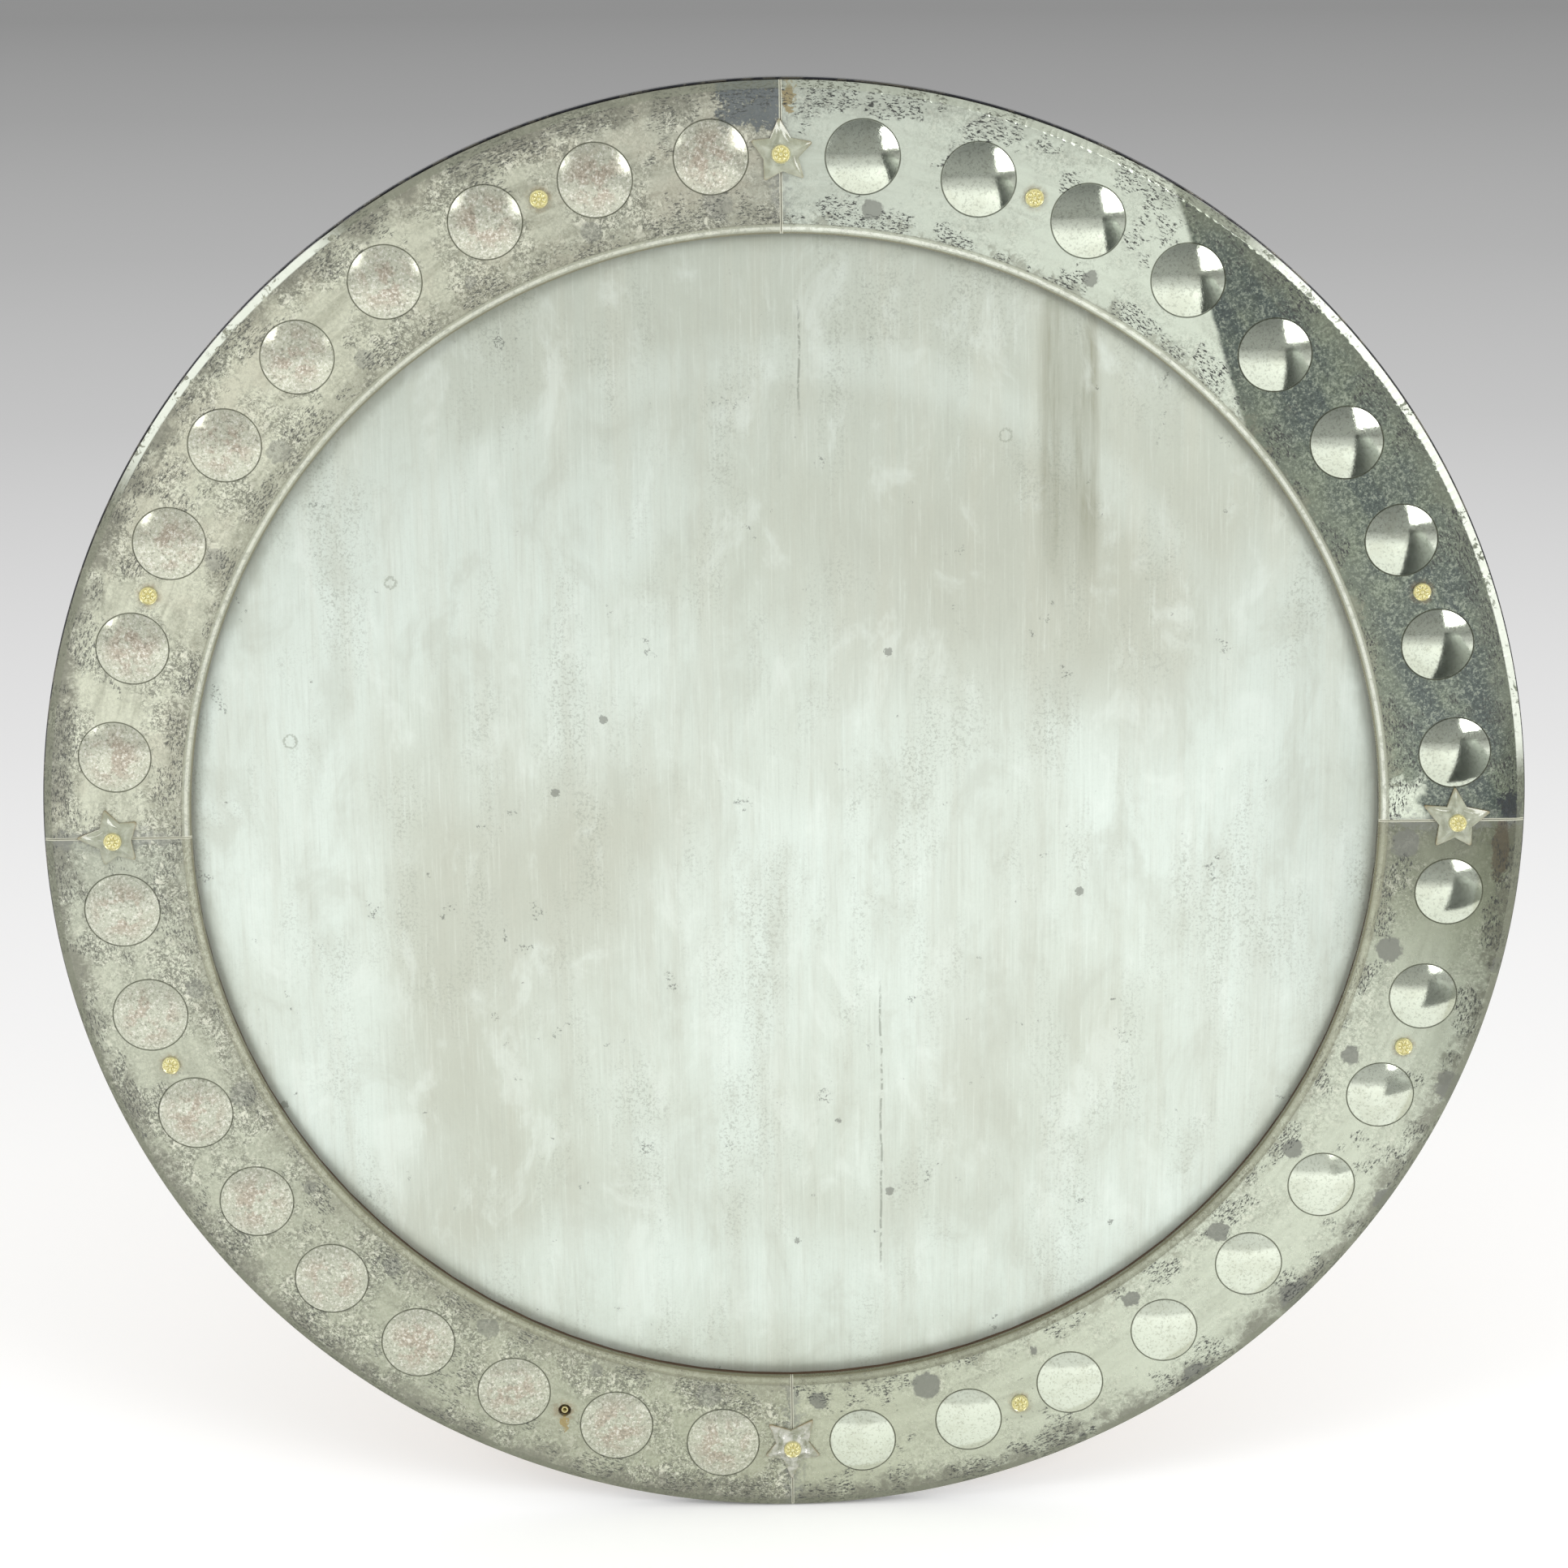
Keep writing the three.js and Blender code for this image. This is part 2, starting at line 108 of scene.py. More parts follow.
# Stars in clockwise order: each arm's direction and length
STARS = {
    "top": ((-3, 24.3), (72, 23.2), (138, 23.7), (211, 22.2), (293, 22.4)),
    "right": ((-4, 25.3), (76, 25.9), (149, 22.6), (217, 23.7), (296, 26.9)),
    "bottom": ((37, 26.4), (113, 23.0), (181, 27.8), (248, 22.1), (315, 25.1)),
    "left": ((-15, 22.9), (53, 21.3), (137, 21.6), (202, 21.0), (272, 27.1)),
}


def length(default, name, description):
    return bpy.props.FloatProperty(
        name=name, description=description, default=default, min=0.0, unit="LENGTH", precision=4
    )


def count(default, name, description):
    return bpy.props.IntProperty(name=name, description=description, default=default, min=3)


def tone(red, green, blue, name, description):
    """A colour property from the three parts of a paint chart colour, 0 to 255."""
    return bpy.props.FloatVectorProperty(
        name=name,
        description=description,
        subtype="COLOR",
        size=3,
        min=0.0,
        max=1.0,
        default=[linear(part) for part in (red, green, blue)],
    )


def linear(part):
    share = part / 255
    return share / 12.92 if share <= 0.04045 else ((share + 0.055) / 1.055) ** 2.4


def paint(red, green, blue):
    return (linear(red), linear(green), linear(blue), 1.0)


# Sizes and colours that a user would change


class BorderSizes(bpy.types.PropertyGroup):
    """Sizes of the four glass quarters of the border"""

    glass_thickness: length(5 * MM, "Glass thickness", "Thickness of the border glass")
    reveal: length(1.5 * MM, "Reveal", "How far the glass stands in from the edge band")
    width: length(103 * MM, "Width", "Width of the border from its inner to its outer edge")
    seam_gap: length(0.5 * MM, "Seam gap", "Gap between two quarters")
    seam_chamfer: length(0.7 * MM, "Seam chamfer", "Ground arris along the seams")
    inner_bevel: length(6.5 * MM, "Inner bevel", "Width of the bevel round the plate")
    inner_bevel_depth: length(2 * MM, "Inner bevel depth", "How deep that bevel is cut")
    outer_bevel: length(5.2 * MM, "Outer bevel", "Width of the scalloped bevel at the rim")
    outer_bevel_depth: length(1.6 * MM, "Outer bevel depth", "How deep that bevel is cut")
    scallop_pitch: length(6.2 * MM, "Scallop pitch", "Length of one cut of the outer bevel")
    scallop_reach: length(1.2 * MM, "Scallop reach", "How far each cut reaches into the face")
    lens_rise: length(4.5 * MM, "Lens rise", "How far a lens stands out of the glass")
    groove_width: length(0.7 * MM, "Groove width", "Groove ground round each lens")
    groove_depth: length(0.35 * MM, "Groove depth", "Depth of that groove")
    hole: length(9.4 * MM, "Hole", "Diameter of the holes for the caps' studs")


class PlateSizes(bpy.types.PropertyGroup):
    """Sizes of the domed plate and of the band round the rim"""

    thickness: length(4 * MM, "Thickness", "Thickness of the plate's glass")
    sides: count(192, "Sides", "Facets round the plate")
    rings: count(30, "Rings", "Facets from the plate's middle to its edge")
    band_bead: length(0.35 * MM, "Band bead", "Rounding of the edge band's lips")


class FixingSizes(bpy.types.PropertyGroup):
    """Sizes of the rosette caps, glass stars, screws and bumpers"""

    cap_rim: length(1.6 * MM, "Cap rim height", "Height of a cap's plain rim")
    petals: count(8, "Petals", "Petals on a rosette cap")
    star_seat: length(7 * MM, "Star seat", "Radius of the flat round a star's hole")
    star_notch: length(12.4 * MM, "Star notch", "Distance from a star's middle to its notches")
    star_hole: length(4 * MM, "Star hole", "Diameter of the hole through a star")
    star_edge: length(1.4 * MM, "Star edge", "Thickness of a star at its arms' tips")
    screw_head: length(8 * MM, "Screw head", "Diameter of a countersunk head")
    screw_head_height: length(2.4 * MM, "Screw head height", "Height of a countersunk head")
    screw_shank: length(3.8 * MM, "Screw shank", "Diameter of a screw over its thread")
    screw_point: length(4 * MM, "Screw point", "Length of a screw's tapered point")
    thread_pitch: length(1.6 * MM, "Thread pitch", "Pitch of a wood screw's thread")
    slot_width: length(1 * MM, "Slot width", "Width of a screw's slot")
    slot_depth: length(0.9 * MM, "Slot depth", "Depth of a screw's slot")
    bumper_chamfer: length(1.5 * MM, "Bumper chamfer", "Rounding of a bumper's rear edge")
    bumper_dimple: length(8 * MM, "Bumper dimple", "Diameter of the hollow in a bumper")


class HangerSizes(bpy.types.PropertyGroup):
    """Sizes of the strap hangers and their D-rings"""

    strap_width: length(20 * MM, "Strap width", "Width of a strap")
    strap_thickness: length(2 * MM, "Strap thickness", "Thickness of a strap")
    strap_length: length(56 * MM, "Strap length", "From a strap's eye to its lower end")
    first_screw: length(16 * MM, "First screw", "From the eye to the upper screw")
    end_screw: length(11 * MM, "End screw", "From the strap's lower end to the lower screw")
    wire: length(5 * MM, "Wire", "Diameter of a D-ring's wire")
    eye_clearance: length(0.4 * MM, "Eye clearance", "Play of the wire in its eye")
    ring_width: length(25 * MM, "Ring width", "Inside width of a D-ring")
    ring_length: length(34 * MM, "Ring length", "From a D-ring's bar to its far end")
    ring_corner: length(4 * MM, "Ring corner", "Bend radius where the bar meets the sides")
    butt_gap: length(0.6 * MM, "Butt gap", "Gap between the ends of a D-ring's wire")


class MirrorColours(bpy.types.PropertyGroup):
    """Colours of the finishes"""

    plate_cool: tone(218, 228, 219, "Plate, cool", "Bright parts of the plate's old silver")
    plate_warm: tone(184, 186, 170, "Plate, warm", "Clouded parts of the plate's old silver")
    fleck: tone(46, 48, 44, "Fleck", "Black flecks where the silver is gone")
    blot: tone(100, 102, 94, "Blot", "Grey blots where glue has lifted the silver")
    rust: tone(134, 104, 62, "Rust", "Rust and old varnish round the fixings and edges")
    star_glass: tone(208, 213, 192, "Star glass", "Moulded glass of the stars")
    brass: tone(230, 224, 172, "Brass", "Lacquered brass of the caps")
    band: tone(26, 27, 34, "Band", "Black enamel of the edge band")
    steel: tone(176, 178, 182, "Steel", "Zinc plated steel of hangers and screws")
    rubber: tone(52, 52, 51, "Rubber", "Rubber of the wall bumpers")
    plywood: tone(186, 150, 104, "Plywood", "Birch plywood of the back board")
    former: tone(92, 66, 42, "Former", "Stained wood of the ring that carries the glass")
    felt: tone(58, 56, 52, "Felt", "Felt of the packing ring")


class StudioSettings(bpy.types.PropertyGroup):
    """The floor, the lights and the camera"""

    floor_colour: tone(252, 252, 251, "Floor", "Pale floor near the mirror")
    far_colour: tone(150, 150, 150, "Distance", "Far floor and the air above it")
    world_level: bpy.props.FloatProperty(
        name="World level", description="Strength of the even light", default=0.79, min=0.0
    )
    key_power: bpy.props.FloatProperty(
        name="Key light", description="Watts of the right soft box", default=40.0, min=0.0
    )
    fill_power: bpy.props.FloatProperty(
        name="Fill light", description="Watts of the left soft box", default=28.0, min=0.0
    )
    lens_length: bpy.props.FloatProperty(
        name="Lens", description="Focal length on a 36 mm wide film", default=86.66, min=1.0
    )


SETTINGS = {
    "mirror_border": BorderSizes,
    "mirror_plate": PlateSizes,
    "mirror_fixings": FixingSizes,
    "mirror_hangers": HangerSizes,
    "mirror_colours": MirrorColours,
    "mirror_studio": StudioSettings,
}


# Places on the mirror


def at_clock(clock, radius, y):
    angle = math.radians(clock)
    return Vector((radius * math.sin(angle), y, radius * math.cos(angle)))


def seam_clock(name, names):
    return names.index(name) * QUARTER_TURN


def lens_pitch(name):
    quarter = QUARTERS[name]
    return (QUARTER_TURN - quarter["first"] - quarter["last"]) / (LENSES - 1)


def lens_clocks(name):
    """Angles of a quarter's lenses from its first seam."""
    first = QUARTERS[name]["first"]
    return [first + index * lens_pitch(name) for index in range(LENSES)]


def cap_clocks(name):
    """Angles of a quarter's two caps from its first seam."""
    return [QUARTERS[name]["first"] + (after - 0.5) * lens_pitch(name) for after in CAP_AFTER_LENS]


def middle_of(node):
    low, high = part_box(node)
    return (low + high) / 2


BARE_SOCKET = middle_of("socket_bottom_left_1")


# Meshes and objects


def piece_from_mesh(name, mesh, material):
    piece = bpy.data.objects.new(name, mesh)
    bpy.context.scene.collection.objects.link(piece)
    if material is not None:
        mesh.materials.clear()
        mesh.materials.append(material)
    return piece


def smooth(mesh, angle=30.0):
    mesh.polygons.foreach_set("use_smooth", [True] * len(mesh.polygons))
    mesh.set_sharp_from_angle(angle=math.radians(angle))
    mesh.update()


def mesh_from(name, vertices, faces, sharp_angle=30.0):
    mesh = bpy.data.meshes.new(name)
    mesh.from_pydata([tuple(vertex) for vertex in vertices], [], faces)
    mesh.validate()
    smooth(mesh, sharp_angle)
    return mesh


def finish_piece(piece, slot, *nodes, body=BODY):
    """Rides a piece on its body and hides the nodes it stands for."""
    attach(piece, body)
    if nodes:
        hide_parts(*nodes)
    return piece


def turned_mesh(name, profile, sides, sharp_angle=30.0):
    """A closed mesh from a loop of (radius, y), turned about the Y axis; radius 0 is a pole."""
    vertices, rows = [], []
    for radius, y in profile:
        if radius == 0:
            rows.append([len(vertices)] * sides)
            vertices.append(Vector((0, y, 0)))
            continue
        rows.append(list(range(len(vertices), len(vertices) + sides)))
        vertices += [at_clock(FULL_TURN * side / sides, radius, y) for side in range(sides)]
    faces = []
    for row, following in zip(rows, rows[1:] + rows[:1]):
        for side in range(sides):
            after = (side + 1) % sides
            corners = [row[side], row[after], following[after], following[side]]
            corners = list(dict.fromkeys(corners))
            if len(corners) > 2:
                faces.append(corners)
    mesh = mesh_from(name, vertices, faces, sharp_angle)
    face_outwards(mesh, sharp_angle)
    return mesh


def face_outwards(mesh, sharp_angle=30.0):
    shape = bmesh.new()
    shape.from_mesh(mesh)
    bmesh.ops.recalc_face_normals(shape, faces=shape.faces)
    shape.to_mesh(mesh)
    shape.free()
    smooth(mesh, sharp_angle)


# Node trees


class Builder:
    """Adds nodes to one tree; a value may be a number, a colour, a name or a socket."""

    def __init__(self, tree):
        self.tree = tree

    def put(self, socket, value):
        if isinstance(value, bpy.types.NodeSocket):
            self.tree.links.new(value, socket)
        else:
            socket.default_value = value

    def node(self, kind, inputs=None, **settings):
        made = self.tree.nodes.new(kind)
        for key, value in settings.items():
            setattr(made, key, value)
        for key, value in (inputs or {}).items():
            self.put(made.inputs[key], value)
        return made

    def math(self, operation, *values, clamp=False):
        made = self.node("ShaderNodeMath", operation=operation, use_clamp=clamp)
        for socket, value in zip(made.inputs, values):
            self.put(socket, value)
        return made.outputs[0]

    def step(self, value, low, high, out_low=0.0, out_high=1.0):
        """A soft step of a value from low to high; low may be the greater."""
        inputs = {0: value, 1: low, 2: high, 3: out_low, 4: out_high}
        made = self.node("ShaderNodeMapRange", inputs, interpolation_type="SMOOTHSTEP")
        return made.outputs[0]

    def mix(self, share, colour, other, blend="MIX"):
        inputs = {0: share, 6: colour, 7: other}
        made = self.node("ShaderNodeMix", inputs, data_type="RGBA", blend_type=blend)
        return made.outputs[2]

    def between(self, share, value, other):
        return self.node("ShaderNodeMix", {0: share, 2: value, 3: other}).outputs[0]

    def join(self, x=0.0, y=0.0, z=0.0):
        return self.node("ShaderNodeCombineXYZ", {0: x, 1: y, 2: z}).outputs[0]

    def split(self, vector):
        return self.node("ShaderNodeSeparateXYZ", {0: vector}).outputs

    def vector(self, operation, *values):
        made = self.node("ShaderNodeVectorMath", operation=operation)
        for socket, value in zip(made.inputs, values):
            self.put(socket, value)
        return made.outputs["Value" if operation in ("LENGTH", "DISTANCE", "DOT_PRODUCT") else "Vector"]

    def noise(self, vector, scale, detail=2.0, roughness=0.5, distortion=0.0):
        inputs = {
            "Vector": vector,
            "Scale": scale,
            "Detail": detail,
            "Roughness": roughness,
            "Distortion": distortion,
        }
        return self.node("ShaderNodeTexNoise", inputs).outputs[0]

    def ramp(self, share, *stops):
        """A colour ramp through (place, colour) stops."""
        made = self.node("ShaderNodeValToRGB", {0: share})
        elements = made.color_ramp.elements
        while len(elements) < len(stops):
            elements.new(1.0)
        for element, (place, colour) in zip(elements, stops):
            element.position = place
            element.color = colour
        return made.outputs[0]

    def group(self, tree, inputs=None):
        made = self.node(
            "GeometryNodeGroup" if self.tree.type == "GEOMETRY" else "ShaderNodeGroup",
            node_tree=tree,
        )
        for key, value in (inputs or {}).items():
            self.put(made.inputs[key], value)
        return made.outputs


SOCKETS = {
    "float": "NodeSocketFloat",
    "vector": "NodeSocketVector",
    "colour": "NodeSocketColor",
    "int": "NodeSocketInt",
    "geometry": "NodeSocketGeometry",
    "material": "NodeSocketMaterial",
}


def new_tree(name, kind, inputs, outputs):
    """A node group with named sockets: its builder, its inputs by name and its output node."""
    tree = bpy.data.node_groups.new(name, kind)
    for title, (socket, default) in inputs.items():
        made = tree.interface.new_socket(title, in_out="INPUT", socket_type=SOCKETS[socket])
        if default is not None:
            made.default_value = default
    for title, socket in outputs.items():
        tree.interface.new_socket(title, in_out="OUTPUT", socket_type=SOCKETS[socket])
    builder = Builder(tree)
    given = builder.node("NodeGroupInput").outputs
    wanted = builder.node("NodeGroupOutput").inputs
    return builder, given, wanted


def shared(make):
    """Builds a node group or a material once and hands the same one out again."""
    kept = {}

    def fetch(*key):
        if key not in kept:
            kept[key] = make(*key)
        return kept[key]

    return fetch


# Shader groups for effects that several finishes share


@shared
def ring_place_group():
    """Clock angle and radius of a point, and the same point unrolled along the ring."""
    b, given, wanted = new_tree(
        "Ring place",
        "ShaderNodeTree",
        {"Position": ("vector", None), "Start": ("float", 0.0)},
        {"Clock": "float", "Radius": "float", "Unrolled": "vector"},
    )
    x, _, z = b.split(given["Position"])
    clock = b.math("DEGREES", b.math("ARCTAN2", x, z))
    clock = b.math("MODULO", b.math("ADD", clock, FULL_TURN + FULL_TURN), FULL_TURN)
    clock = b.math("SUBTRACT", clock, given["Start"])
    radius = b.math("SQRT", b.math("ADD", b.math("MULTIPLY", x, x), b.math("MULTIPLY", z, z)))
    along = b.math("MULTIPLY", b.math("RADIANS", clock), FIXING_RADIUS)
    b.put(wanted["Clock"], clock)
    b.put(wanted["Radius"], radius)
    b.put(wanted["Unrolled"], b.join(along, radius, 0.0))
    return b.tree


@shared
def nearest_group():
    """Distance to the nearest of a row of places that stand round the ring at one pitch."""
    b, given, wanted = new_tree(
        "Nearest in ring",
        "ShaderNodeTree",
        {
            "Clock": ("float", 0.0),
            "Radius": ("float", 0.0),
            "First": ("float", 0.0),
            "Pitch": ("float", 10.0),
            "Last Index": ("float", 8.0),
            "Circle": ("float", 0.475),
        },
        {"Distance": "float", "Index": "float"},
    )
    index = b.math("DIVIDE", b.math("SUBTRACT", given["Clock"], given["First"]), given["Pitch"])
    index = b.math("MAXIMUM", b.math("ROUND", index), 0.0)
    index = b.math("MINIMUM", index, given["Last Index"])
    centre = b.math("ADD", given["First"], b.math("MULTIPLY", index, given["Pitch"]))
    turn = b.math("RADIANS", b.math("SUBTRACT", given["Clock"], centre))
    across = b.math("MULTIPLY", given["Radius"], b.math("SINE", turn))
    out = b.math("MULTIPLY", given["Radius"], b.math("COSINE", turn))
    out = b.math("SUBTRACT", out, given["Circle"])
    b.put(wanted["Distance"], b.vector("LENGTH", b.join(across, out, 0.0)))
    b.put(wanted["Index"], index)
    return b.tree


@shared
def foxing_group():
    """Mottled clouding of old silver at three scales."""
    b, given, wanted = new_tree(
        "Foxing",
        "ShaderNodeTree",
        {"Position": ("vector", None), "Size": ("float", 26 * MM)},
        {"Clouds": "float", "Mottle": "float", "Grain": "float"},
    )
    scale = b.math("DIVIDE", 1.0, given["Size"])
    clouds = b.noise(given["Position"], scale, 3.0, 0.6, 0.4)
    mottle = b.noise(given["Position"], b.math("MULTIPLY", scale, 4.5), 4.0, 0.7, 0.8)
    grain = b.noise(given["Position"], b.math("MULTIPLY", scale, 13.0), 3.0, 0.72, 0.4)
    b.put(wanted["Clouds"], b.step(clouds, 0.34, 0.66))
    b.put(wanted["Mottle"], b.step(mottle, 0.34, 0.66))
    b.put(wanted["Grain"], b.step(grain, 0.32, 0.68))
    return b.tree


@shared
def flecks_group():
    """Small crooked flecks and dots where the silver is gone; Amount runs from 0 to 1."""
    b, given, wanted = new_tree(
        "Flecks",
        "ShaderNodeTree",
        {
            "Position": ("vector", None),
            "Size": ("float", 5 * MM),
            "Stretch": ("float", 2.0),
            "Amount": ("float", 0.5),
        },
        {"Mask": "float"},
    )
    stretched = b.vector("MULTIPLY", given["Position"], b.join(1.0, given["Stretch"], 1.0))
    scale = b.math("DIVIDE", 1.0, given["Size"])
    crooked = b.noise(stretched, scale, 4.0, 0.72, 1.2)
    line = b.step(b.math("ABSOLUTE", b.math("SUBTRACT", crooked, 0.5)), 0.075, 0.045)
    broken = b.noise(stretched, b.math("MULTIPLY", scale, 2.3), 3.0, 0.6)
    line = b.math("MULTIPLY", line, b.step(broken, 0.5, 0.54))
    dots = b.step(b.noise(stretched, b.math("MULTIPLY", scale, 3.1), 1.0), 0.65, 0.69)
    patches = b.noise(given["Position"], b.math("MULTIPLY", scale, 0.22), 4.0, 0.65)
    edge = b.math("SUBTRACT", 0.66, b.math("MULTIPLY", given["Amount"], 0.34))
    area = b.step(b.math("SUBTRACT", patches, edge), 0.0, 0.05)
    b.put(wanted["Mask"], b.math("MULTIPLY", b.math("MAXIMUM", line, dots), area))
    return b.tree


@shared
def blot_group():
    """A ragged blot from the distance to its middle."""
    b, given, wanted = new_tree(
        "Blot",
        "ShaderNodeTree",
        {
            "Position": ("vector", None),
            "Distance": ("float", 0.0),
            "Radius": ("float", 5 * MM),
            "Raggedness": ("float", 0.6),
        },
        {"Mask": "float"},
    )
    rough = b.math("SUBTRACT", b.noise(given["Position"], 240.0, 3.0, 0.6), 0.5)
    sizes = b.math("SUBTRACT", b.noise(given["Position"], 14.0, 0.0), 0.5)
    reach = b.math("MULTIPLY", b.math("MULTIPLY", rough, given["Raggedness"]), 2.2)
    reach = b.math("ADD", b.math("ADD", 1.0, reach), b.math("MULTIPLY", sizes, 2.4))
    share = b.math("DIVIDE", given["Distance"], b.math("MULTIPLY", given["Radius"], reach))
    b.put(wanted["Mask"], b.step(share, 1.08, 0.86))
    return b.tree


@shared
def brushed_group():
    """Fine brushing with scratches and dull spots, for metal."""
    b, given, wanted = new_tree(
        "Brushed metal",
        "ShaderNodeTree",
        {
            "Position": ("vector", None),
            "Grain": ("vector", (1.0, 1.0, 12.0)),
            "Scale": ("float", 220.0),
        },
        {"Height": "float", "Dull": "float"},
    )
    drawn = b.vector("MULTIPLY", given["Position"], given["Grain"])
    lines = b.noise(drawn, given["Scale"], 3.0, 0.7)
    spots = b.noise(given["Position"], 90.0, 4.0, 0.65)
    b.put(wanted["Height"], lines)
    b.put(wanted["Dull"], b.step(spots, 0.42, 0.7))
    return b.tree


@shared
def wood_group():
    """Wood grain along X: growth bands, pores and slow colour change."""
    b, given, wanted = new_tree(
        "Wood grain",
        "ShaderNodeTree",
        {"Position": ("vector", None), "Bands": ("float", 22.0)},
        {"Figure": "float", "Pores": "float"},
    )
    warp = b.math("MULTIPLY", b.noise(given["Position"], 3.0, 2.0, 0.5), 0.05)
    x, y, z = b.split(given["Position"])
    height = b.math("ADD", z, warp)
    bands = b.noise(b.join(b.math("MULTIPLY", x, 0.06), y, height), given["Bands"], 4.0, 0.6)
    soft = b.step(bands, 0.34, 0.66)
    fibre = b.noise(b.join(b.math("MULTIPLY", x, 0.06), y, z), 420.0, 3.0, 0.7)
    b.put(wanted["Figure"], b.math("ADD", b.math("MULTIPLY", soft, 0.4), b.math("MULTIPLY", fibre, 0.6)))
    b.put(wanted["Pores"], b.step(fibre, 0.6, 0.72))
    return b.tree


# Finishes


def new_finish(name):
    """A material's builder, its shader and the object's own coordinates."""
    material = bpy.data.materials.new(name)
    material.use_nodes = True
    material.node_tree.nodes.clear()
    b = Builder(material.node_tree)
    shader = b.node("ShaderNodeBsdfPrincipled")
    output = b.node("ShaderNodeOutputMaterial")
    b.put(output.inputs["Surface"], shader.outputs[0])
    place = b.node("ShaderNodeTexCoord").outputs["Object"]
    return material, b, shader.inputs, place


def colours():
    return bpy.context.scene.mirror_colours


def rgba(colour):
    return (*colour, 1.0)


def relief(b, shader, height, strength, distance):
    inputs = {"Strength": strength, "Distance": distance, "Height": height}
    b.put(shader["Normal"], b.node("ShaderNodeBump", inputs).outputs[0])


# How each quarter has aged, and the painted light and shade of its ground and bevels. Colours run from its first seam
# to its last; shares run from 0 to 1.
# A row of spots is its first angle, pitch, number of pitches, circle and radius.
AGEING_AND_LIGHT = {
    "top_right": {
        "ground": ((0.0, (206, 214, 200)), (0.3, (220, 229, 212)), (1.0, (214, 223, 204))),
        "salt": 0.22,
        "blush": 0.0,
        "streaks": 0.2,
        "stained_rim": 0.25,
        "flecks": 0.2,
        "edge_flecks": 0.42,
        "fleck_share": 1.0,
        "glue": (8.0, 20.5, 1, 441 * MM, 5.5 * MM),
        "rim_spots": None,
        "bright_bevel": (0.95, 36.0, 87.0),
        "inner_bevel_painted_lit": 1.0,
        "metal": 0.5,
        "roughness": 0.17,
        "lens_metal": 0.97,
        "lens_roughness": 0.06,
    },
    "bottom_right": {
        "ground": (
            (0.0, (108, 112, 92)),
            (0.09, (146, 152, 130)),
            (0.2, (194, 201, 182)),
            (0.6, (202, 209, 190)),
            (1.0, (184, 188, 164)),
        ),
        "salt": 0.3,
        "blush": 0.0,
        "streaks": 0.3,
        "stained_rim": 0.8,
        "flecks": 0.14,
        "edge_flecks": 0.42,
        "fleck_share": 0.95,
        "glue": (1.9, 10.7, 8, 441 * MM, 7.5 * MM),
        "rim_spots": (12.0, 10.7, 5, 521 * MM, 11 * MM),
        "bright_bevel": None,
        "inner_bevel_painted_lit": 0.0,
        "metal": 0.45,
        "roughness": 0.22,
        "lens_metal": 0.9,
        "lens_roughness": 0.09,
    },
    "bottom_left": {
        "ground": (
            (0.0, (172, 176, 152)),
            (0.5, (174, 178, 157)),
            (0.9, (191, 195, 175)),
            (1.0, (172, 177, 160)),
        ),
        "salt": 1.0,
        "blush": 0.25,
        "streaks": 0.35,
        "stained_rim": 0.75,
        "flecks": 0.24,
        "edge_flecks": 0.3,
        "fleck_share": 0.75,
        "glue": (8.0, 11.2, 6, 438 * MM, 8 * MM),
        "rim_spots": None,
        "bright_bevel": None,
        "inner_bevel_painted_lit": 0.0,
        "metal": 0.3,
        "roughness": 0.32,
        "lens_metal": 0.35,
        "lens_roughness": 0.2,
    },
    "top_left": {
        # Darker towards the top seam: partly tarnish, partly painted shade
        "ground": (
            (0.0, (204, 207, 186)),
            (0.45, (208, 210, 188)),
            (0.75, (188, 190, 170)),
            (1.0, (168, 169, 154)),
        ),
        "salt": 0.9,
        "blush": 1.0,
        "streaks": 0.6,
        "stained_rim": 0.8,
        "flecks": 0.2,
        "edge_flecks": 0.42,
        "fleck_share": 0.8,
        "glue": (27.0, 11.5, 5, 443 * MM, 6.5 * MM),
        "rim_spots": None,
        "bright_bevel": (0.9, 27.0, 56.0),
        "inner_bevel_painted_lit": 0.8,
        "metal": 0.3,
        "roughness": 0.32,
        "lens_metal": 0.45,
        "lens_roughness": 0.14,
    },
}

# Painted reflection of a dark room on the top right quarter, coloured like darkened silver: it
# starts at a slanting edge, from the first place at the rim to the second at the plate, and
# runs to the right seam
DARK_FROM = (30.6, 523 * MM)
DARK_TO = (49.8, 421 * MM)
# A pale patch cuts its lower inner corner: where it starts, and how far out it reaches
PALE_CORNER = (86.2, 455 * MM)
# Slate stain at the rim beside the top seam: how far it reaches from the seam and from the rim
SLATE_REACH = (42 * MM, 33 * MM)


def tint(b, share, shade, *chart):
    return b.mix(share, shade, paint(*chart))


def share_of(b, mask, strength):
    return b.math("MULTIPLY", mask, strength)


def spots(b, where, first, pitch, last, circle):
    """Distance to the nearest of a row of spots round the ring."""
    inputs = {
        "Clock": where["Clock"],
        "Radius": where["Radius"],
        "First": first,
        "Pitch": pitch,
        "Last Index": float(last),
        "Circle": circle,
    }
    return b.group(nearest_group(), inputs)["Distance"]


def ragged_blot(b, place, distance, size):
    inputs = {"Position": place, "Distance": distance, "Radius": size}
    return b.group(blot_group(), inputs)["Mask"]


def stain(b, place, rough, centre, half_width, half_height):
    """A ragged upright stain round a place."""
    x, _, z = b.split(place)
    aside = b.math("DIVIDE", b.math("SUBTRACT", x, centre.x), half_width)
    above = b.math("DIVIDE", b.math("SUBTRACT", z, centre.z), half_height)
    away = b.vector("LENGTH", b.join(aside, above, 0.0))
    away = b.math("ADD", away, b.math("DIVIDE", rough, half_height))
    return b.step(away, 1.0, 0.75)


